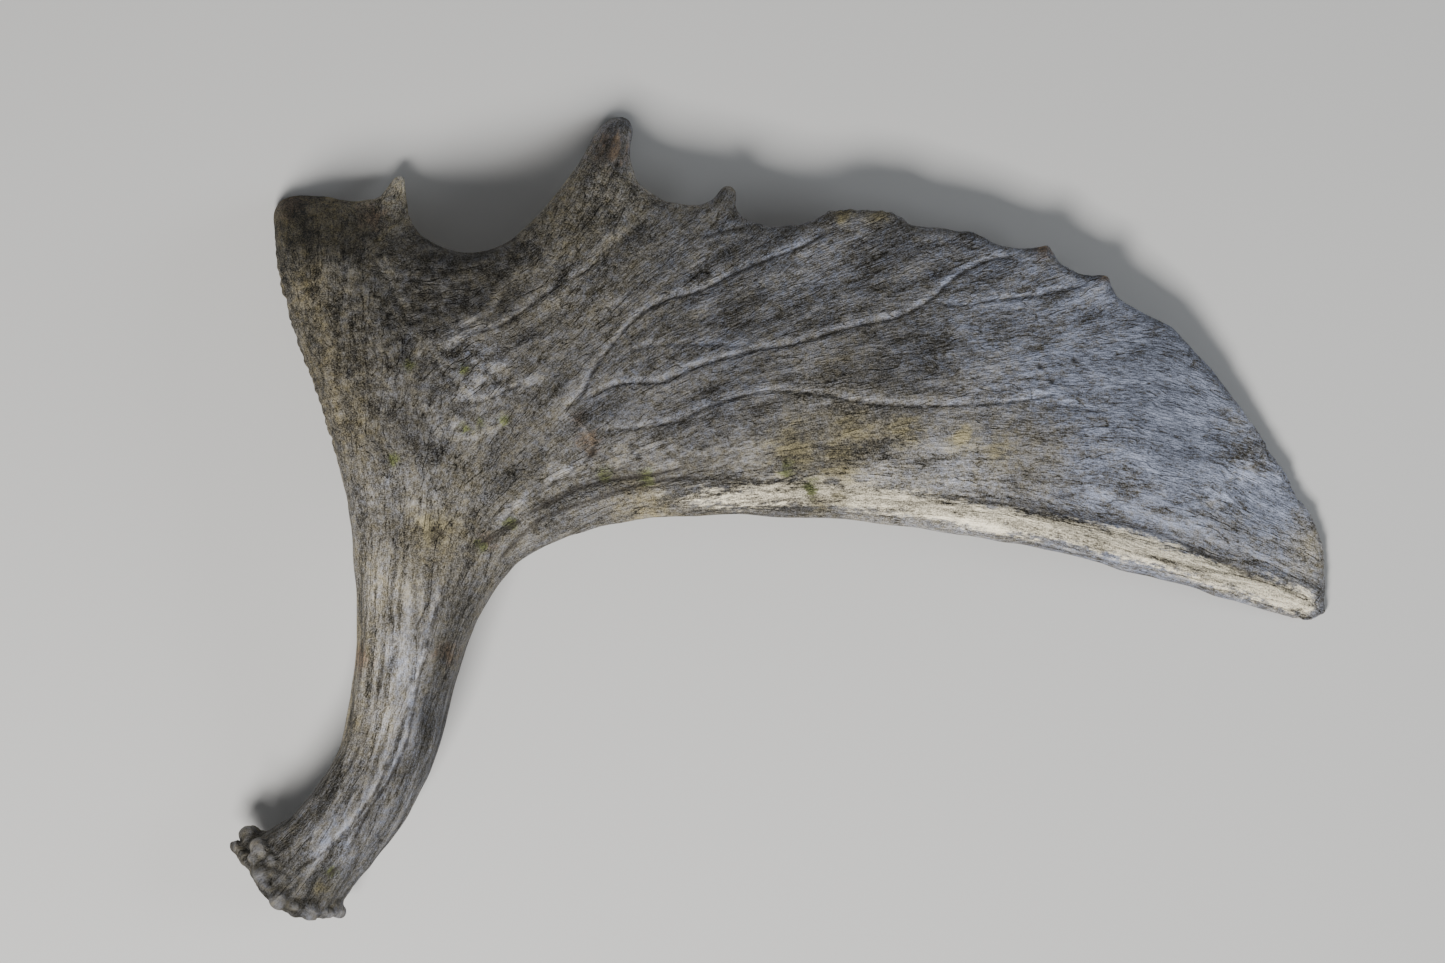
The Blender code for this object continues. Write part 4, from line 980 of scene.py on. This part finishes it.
def add(tree, kind, values=(), **settings):
    """A node with its settings, and each of its inputs set to a value or linked to an output."""
    node = tree.nodes.new("ShaderNode" + kind)
    for key, value in settings.items():
        setattr(node, key, value)
    for key, value in dict(values).items():
        if isinstance(value, bpy.types.NodeSocket):
            tree.links.new(value, node.inputs[key])
        else:
            node.inputs[key].default_value = value
    return node


def maths(tree, operation, *values):
    """The output of a math node that works on the values."""
    return add(tree, "Math", enumerate(values), operation=operation).outputs[0]


def blended(tree, factor, low, high):
    """Two colours mixed by a factor. The node's inputs 6 and 7 and its output 2 are its colours."""
    return add(tree, "Mix", {0: factor, 6: low, 7: high}, data_type="RGBA").outputs[2]


def stepped(tree, value, low, high):
    """0 up to low and 1 from high on, smooth between."""
    values = {0: value, 1: low, 2: high}
    return add(tree, "MapRange", values, interpolation_type="SMOOTHSTEP").outputs[0]


def scaled(tree, tone, amount):
    """A tone times an amount of light."""
    return add(tree, "VectorMath", {0: tone, "Scale": amount}, operation="SCALE").outputs[0]


def attribute(tree, name, output="Vector"):
    """A named attribute of the mesh: its vector, or its factor."""
    return add(tree, "Attribute", attribute_name=name).outputs[output]


def parts(tree, name):
    """The three numbers that an attribute holds."""
    return add(tree, "SeparateXYZ", {0: attribute(tree, name)}).outputs[:]


def noise(tree, place, size, detail, rough):
    """Cloudy noise about nothing, with clouds of a size."""
    values = {"Vector": place, "Scale": 1 / size, "Detail": detail, "Roughness": rough}
    return maths(tree, "SUBTRACT", add(tree, "TexNoise", values).outputs[0], 0.5)


def fibre_group():
    """The fibres' pattern as a group, made as the relief's fibres are: two turned copies, mixed."""
    group = bpy.data.node_groups.new("bone fibres", "ShaderNodeTree")
    group.interface.new_socket("Place", in_out="INPUT", socket_type="NodeSocketVector")
    for name in ("Growth", "Length", "Width", "Detail"):
        group.interface.new_socket(name, in_out="INPUT", socket_type="NodeSocketFloat")
    group.interface.new_socket("Value", in_out="OUTPUT", socket_type="NodeSocketFloat")
    given = group.nodes.new("NodeGroupInput").outputs
    steps = maths(group, "DIVIDE", given["Growth"], TURN_STEP)
    low = maths(group, "FLOOR", steps)
    part = maths(group, "SUBTRACT", steps, low)
    along = maths(group, "DIVIDE", 1.0, given["Length"])
    aside = maths(group, "DIVIDE", 1.0, given["Width"])
    stretch = add(group, "CombineXYZ", {0: along, 1: aside, 2: aside}).outputs[0]
    rest = maths(group, "SUBTRACT", 1.0, part)
    mixed = spread = 0.0
    for number, share in ((low, rest), (maths(group, "ADD", low, 1.0), part)):
        turn = maths(group, "MULTIPLY", number, -math.radians(TURN_STEP))
        turned = add(group, "VectorRotate", {"Vector": given["Place"], "Angle": turn},
                     rotation_type="Z_AXIS").outputs[0]
        values = {0: turned, 1: stretch, 2: maths(group, "MULTIPLY", number, TURN_SHIFT)}
        moved = add(group, "VectorMath", values, operation="MULTIPLY_ADD").outputs[0]
        drawn = noise(group, moved, 1, given["Detail"], 0.6)
        mixed = maths(group, "MULTIPLY_ADD", drawn, share, mixed)
        spread = maths(group, "MULTIPLY_ADD", share, share, spread)
    value = maths(group, "DIVIDE", mixed, maths(group, "SQRT", spread))
    group.links.new(value, group.nodes.new("NodeGroupOutput").inputs["Value"])
    return group


BONE_LIGHT = 0.155  # how much light the palm's middle gives back
SOFT_TOP = 2.0  # the pattern's light side levels out towards this, and its dark side grows
COOL = (0.88, 0.95, 1.20, 1)
WARM = (1.29, 1.05, 0.52, 1)
CREAM = (0.92, 0.82, 0.61)
CREAM_SHARE = 0.9  # how much of the bone's own colour the cream covers at most
# Between which values of its ragged mask a colour comes in, here and after each stain's tone.
PALE_EDGE = (0.2, 0.8)
CREAM_EDGE = (0.05, 0.75)
# Brown, ochre and moss.
STAINS = [
    ((0.94, 0.68, 0.46), 0.1, 1.2), ((1.22, 1.05, 0.61), 0.0, 1.3), ((0.80, 0.86, 0.36), 0.1, 1.0),
]
# Near-black, for the grime in cracks and pits and for painted shadow in the vessel grooves' floors.
DIRT_AND_SHADE = (0.030, 0.025, 0.020, 1)
DIRT_MOST = 0.9  # the share of dirt in the deepest crack
BONE_SHEEN = 0.25
BUMP_HEIGHT = 0.0018  # in metres


def bone_finish():
    """Weathered antler: streaks along the growth over blotches, then worn cream, stains, moss, grimy
    cracks and pits, and painted shade and light from the tone, the vessel grooves and the hollows.

    The pattern is a sum of streaks and noise, in halvings and doublings of light. Its contrast follows
    the place, its light side levels out, and the light side is a little cooler where the bone is cool.
    Sizes are in millimetres, and the number beside each value of a sum is its weight.
    """
    material = bpy.data.materials.new("weathered antler")
    material.use_nodes = True
    tree = material.node_tree
    shader = tree.nodes["Principled BSDF"]
    fibres_pattern = fibre_group()
    place = attribute(tree, "bone place")
    growth = attribute(tree, "growth", "Fac")

    def streaks(length, width, detail):
        """Fibres of a length and a width."""
        values = {"Place": place, "Growth": growth, "Length": length, "Width": width, "Detail": detail}
        return add(tree, "Group", values, node_tree=fibres_pattern).outputs[0]

    def times(*values):
        """The product of the values."""
        return reduce(partial(maths, tree, "MULTIPLY"), values)

    def sum_of(*terms, base=0.0):
        """The base, and each value times its weight."""
        for value, weight in terms:
            base = maths(tree, "MULTIPLY_ADD", value, weight, base)
        return base

    def bell_of(value, centre, width):
        """A bell curve of a value."""
        away = maths(tree, "SUBTRACT", value, centre)
        return maths(tree, "EXPONENT", times(away, away, -1 / width ** 2))

    # The tone's lightness is partly painted shade and light, as well as the bone's own tone.
    light, warm, blotchy = parts(tree, "tone")
    gap, side, strength = parts(tree, "vessel")
    cream, pale, burr = parts(tree, "worn")
    hollow, crack, beam = parts(tree, "form")
    long, wrinkle, thread = parts(tree, "sweep")
    short, fine, clouds = streaks(7.0, 1.7, 2.0), streaks(3.4, 0.9, 2.0), streaks(13.0, 4.5, 4.0)
    blotches, tinge = noise(tree, place, 6, 4.0, 0.68), noise(tree, place, 4, 3.0, 0.65)
    grain = times(noise(tree, place, 0.8, 1.0, 0.5), sum_of((warm, 0.5), base=1.0))
    broken = sum_of((short, 1.0), (thread, 0.3), (blotches, 1.6), (fine, 0.7), (clouds, 1.6))

    def ragged(mask, low, high):
        """Where a patch shows: the mask with a broken edge, and nothing where the mask itself ends."""
        share = maths(tree, "MINIMUM", times(mask, 4.0), 1.0)
        return stepped(tree, sum_of((broken, share), base=mask), low, high)

    pale = ragged(pale, *PALE_EDGE)
    flanks = stepped(tree, maths(tree, "ABSOLUTE", wrinkle), 0.0, 0.14)
    showing = stepped(tree, sum_of((thread, 0.2), (short, 1.2), (blotches, 0.6)), -0.1, 0.1)
    cuts = times(sum_of((flanks, -1.0), base=1.0), showing)
    unhealed = stepped(tree, sum_of((thread, 0.3), (short, 1.5), (blotches, 0.8)), -0.8, -0.2)
    # Painted light and shadow of the vessel grooves: the bank on a groove's left is painted lighter, as
    # the wall that faces the light, and its floor darker, as the wall in shadow.
    gap = sum_of((blotches, 3.0), base=gap)
    floor = times(bell_of(gap, 0.0, 0.7), strength)
    patchy = sum_of((clouds, 1.4), (blotches, 1.0), base=1.0)
    bank = times(bell_of(gap, 2.4, 2.1), side, strength, patchy)
    blots = sum_of((blotches, 5.4), (clouds, -2.2), (short, -1.2), (fine, -2.2), (thread, -0.3))
    lines = sum_of((long, 0.3), (thread, 0.4), (cuts, -0.3), (short, -0.2), (clouds, -1.6))
    pattern = sum_of((long, 0.45), (short, 1.5), (fine, 3.4), (grain, 3.4), (clouds, 2.2),
                     (thread, 0.35), (cuts, -0.85), (blots, blotchy), (lines, beam))
    contrast = sum_of((warm, 0.2), (bank, -0.3), (pale, -0.4), (burr, -0.5), (blotchy, 0.3), base=1.2)
    # Painted shade in the hollows, and painted highlight on the crests and the pearls' heads.
    pattern = sum_of((pattern, contrast), (hollow, -0.48))
    spared = maths(tree, "EXPONENT", times(pattern, -1 / SOFT_TOP))
    pattern = sum_of((spared, -SOFT_TOP), base=SOFT_TOP)
    # In stops of light: the tone with its painted shade and light, the pattern, painted light on the
    # grooves' banks, painted shadow in their floors, and the pale strips.
    stops = sum_of((light, 1.0), (pattern, 1.0), (bank, 0.9), (floor, -0.8), (pale, 0.7))
    amount = times(maths(tree, "POWER", 2.0, stops), BONE_LIGHT)
    lean = sum_of((warm, 0.2), base=-0.12)
    warmth = sum_of((warm, 0.65), (pattern, lean), (tinge, 1.0), (long, 0.1), (bank, -0.08),
                    base=0.35)
    colour = scaled(tree, blended(tree, warmth, COOL, WARM), amount)
    cream_light = maths(tree, "POWER", 2.0, times(pattern, 0.8))
    covered = times(ragged(cream, *CREAM_EDGE), CREAM_SHARE)
    colour = blended(tree, covered, colour, scaled(tree, CREAM, cream_light))
    for mask, (tone, low, high) in zip(parts(tree, "stain"), STAINS):
        colour = blended(tree, ragged(mask, low, high), colour, scaled(tree, tone, amount))
    # Grime in the cracks and pits, and painted shadow in the vessel grooves' floors.
    crack_grime_and_groove_shade = sum_of((times(crack, unhealed), 0.9), (floor, 0.25))
    colour = blended(tree, maths(tree, "MINIMUM", crack_grime_and_groove_shade, DIRT_MOST), colour, DIRT_AND_SHADE)
    tree.links.new(colour, shader.inputs["Base Color"])
    rough = sum_of((short, -0.25), (cream, -0.10), (hollow, 0.04), base=0.70)
    tree.links.new(rough, shader.inputs["Roughness"])
    shader.inputs["Specular IOR Level"].default_value = BONE_SHEEN
    fluff = sum_of((short, -0.5), (fine, -0.4), (blotches, 0.7))
    height = sum_of((short, 0.7), (fine, 0.5), (grain, 0.15), (floor, -0.2), (cuts, -0.3),
                    (fluff, blotchy))
    bump = add(tree, "Bump", {"Height": height, "Distance": BUMP_HEIGHT, "Strength": 1.0})
    tree.links.new(bump.outputs[0], shader.inputs["Normal"])
    return material


def antler():
    """The three pieces of the antler, with one finish."""
    skins = antler_skins()
    points, normals, marks, shares = finished_bone(skins)
    finish = bone_finish()
    for node, skin in skins.items():
        bone_piece(node, skin, points, normals, marks, shares[node], finish)


# The camera's place, its lens and its sensor's width, all in millimetres.
CAMERA_PLACE = (-34.75, 20.87, 4060.0)
CAMERA_LENS = 166.1
CAMERA_SENSOR = 36.0
FLOOR_SIZE = 8.0  # in metres
FLOOR_COLOUR = (0.80, 0.79, 0.77, 1)
FLOOR_ROUGHNESS = 0.9
# Soft lamps: name, place in metres, width, power in watts, colour.
LAMPS = [
    ("key", (-0.55, -1.25, 1.75), 0.7, 54, (1.0, 0.99, 0.97)),
    ("side", (1.70, -0.20, 1.40), 1.0, 9, (0.88, 0.94, 1.0)),
]
WORLD_COLOUR = (0.75, 0.78, 0.82, 1)
WORLD_STRENGTH = 0.18


def studio():
    """The floor, the lamps, the world's light and the camera, which looks straight down."""
    half = FLOOR_SIZE / 2
    mesh = bpy.data.meshes.new("floor")
    corners = [(-half, -half, 0), (half, -half, 0), (half, half, 0), (-half, half, 0)]
    mesh.from_pydata(corners, [], [(0, 1, 2, 3)])
    finish = bpy.data.materials.new("pale floor")
    finish.use_nodes = True
    shader = finish.node_tree.nodes["Principled BSDF"]
    shader.inputs["Base Color"].default_value = FLOOR_COLOUR
    shader.inputs["Roughness"].default_value = FLOOR_ROUGHNESS
    mesh.materials.append(finish)
    floor = bpy.data.objects.new("floor", mesh)
    bpy.context.collection.objects.link(floor)
    for name, place, width, power, colour in LAMPS:
        lamp = bpy.data.lights.new(name, "AREA")
        lamp.energy, lamp.size, lamp.color = power, width, colour
        holder = bpy.data.objects.new(name, lamp)
        holder.location = place
        holder.rotation_euler = (-Vector(place)).to_track_quat("-Z", "Y").to_euler()
        bpy.context.collection.objects.link(holder)
    world = bpy.data.worlds.new("soft light")
    world.use_nodes = True
    glow = world.node_tree.nodes["Background"].inputs
    glow["Color"].default_value = WORLD_COLOUR
    glow["Strength"].default_value = WORLD_STRENGTH
    bpy.context.scene.world = world
    lens = bpy.data.cameras.new("camera")
    lens.lens, lens.sensor_width = CAMERA_LENS, CAMERA_SENSOR
    camera = bpy.data.objects.new("camera", lens)
    camera.location = Vector(CAMERA_PLACE) * MM
    bpy.context.collection.objects.link(camera)
    bpy.context.scene.camera = camera


antler()
studio()
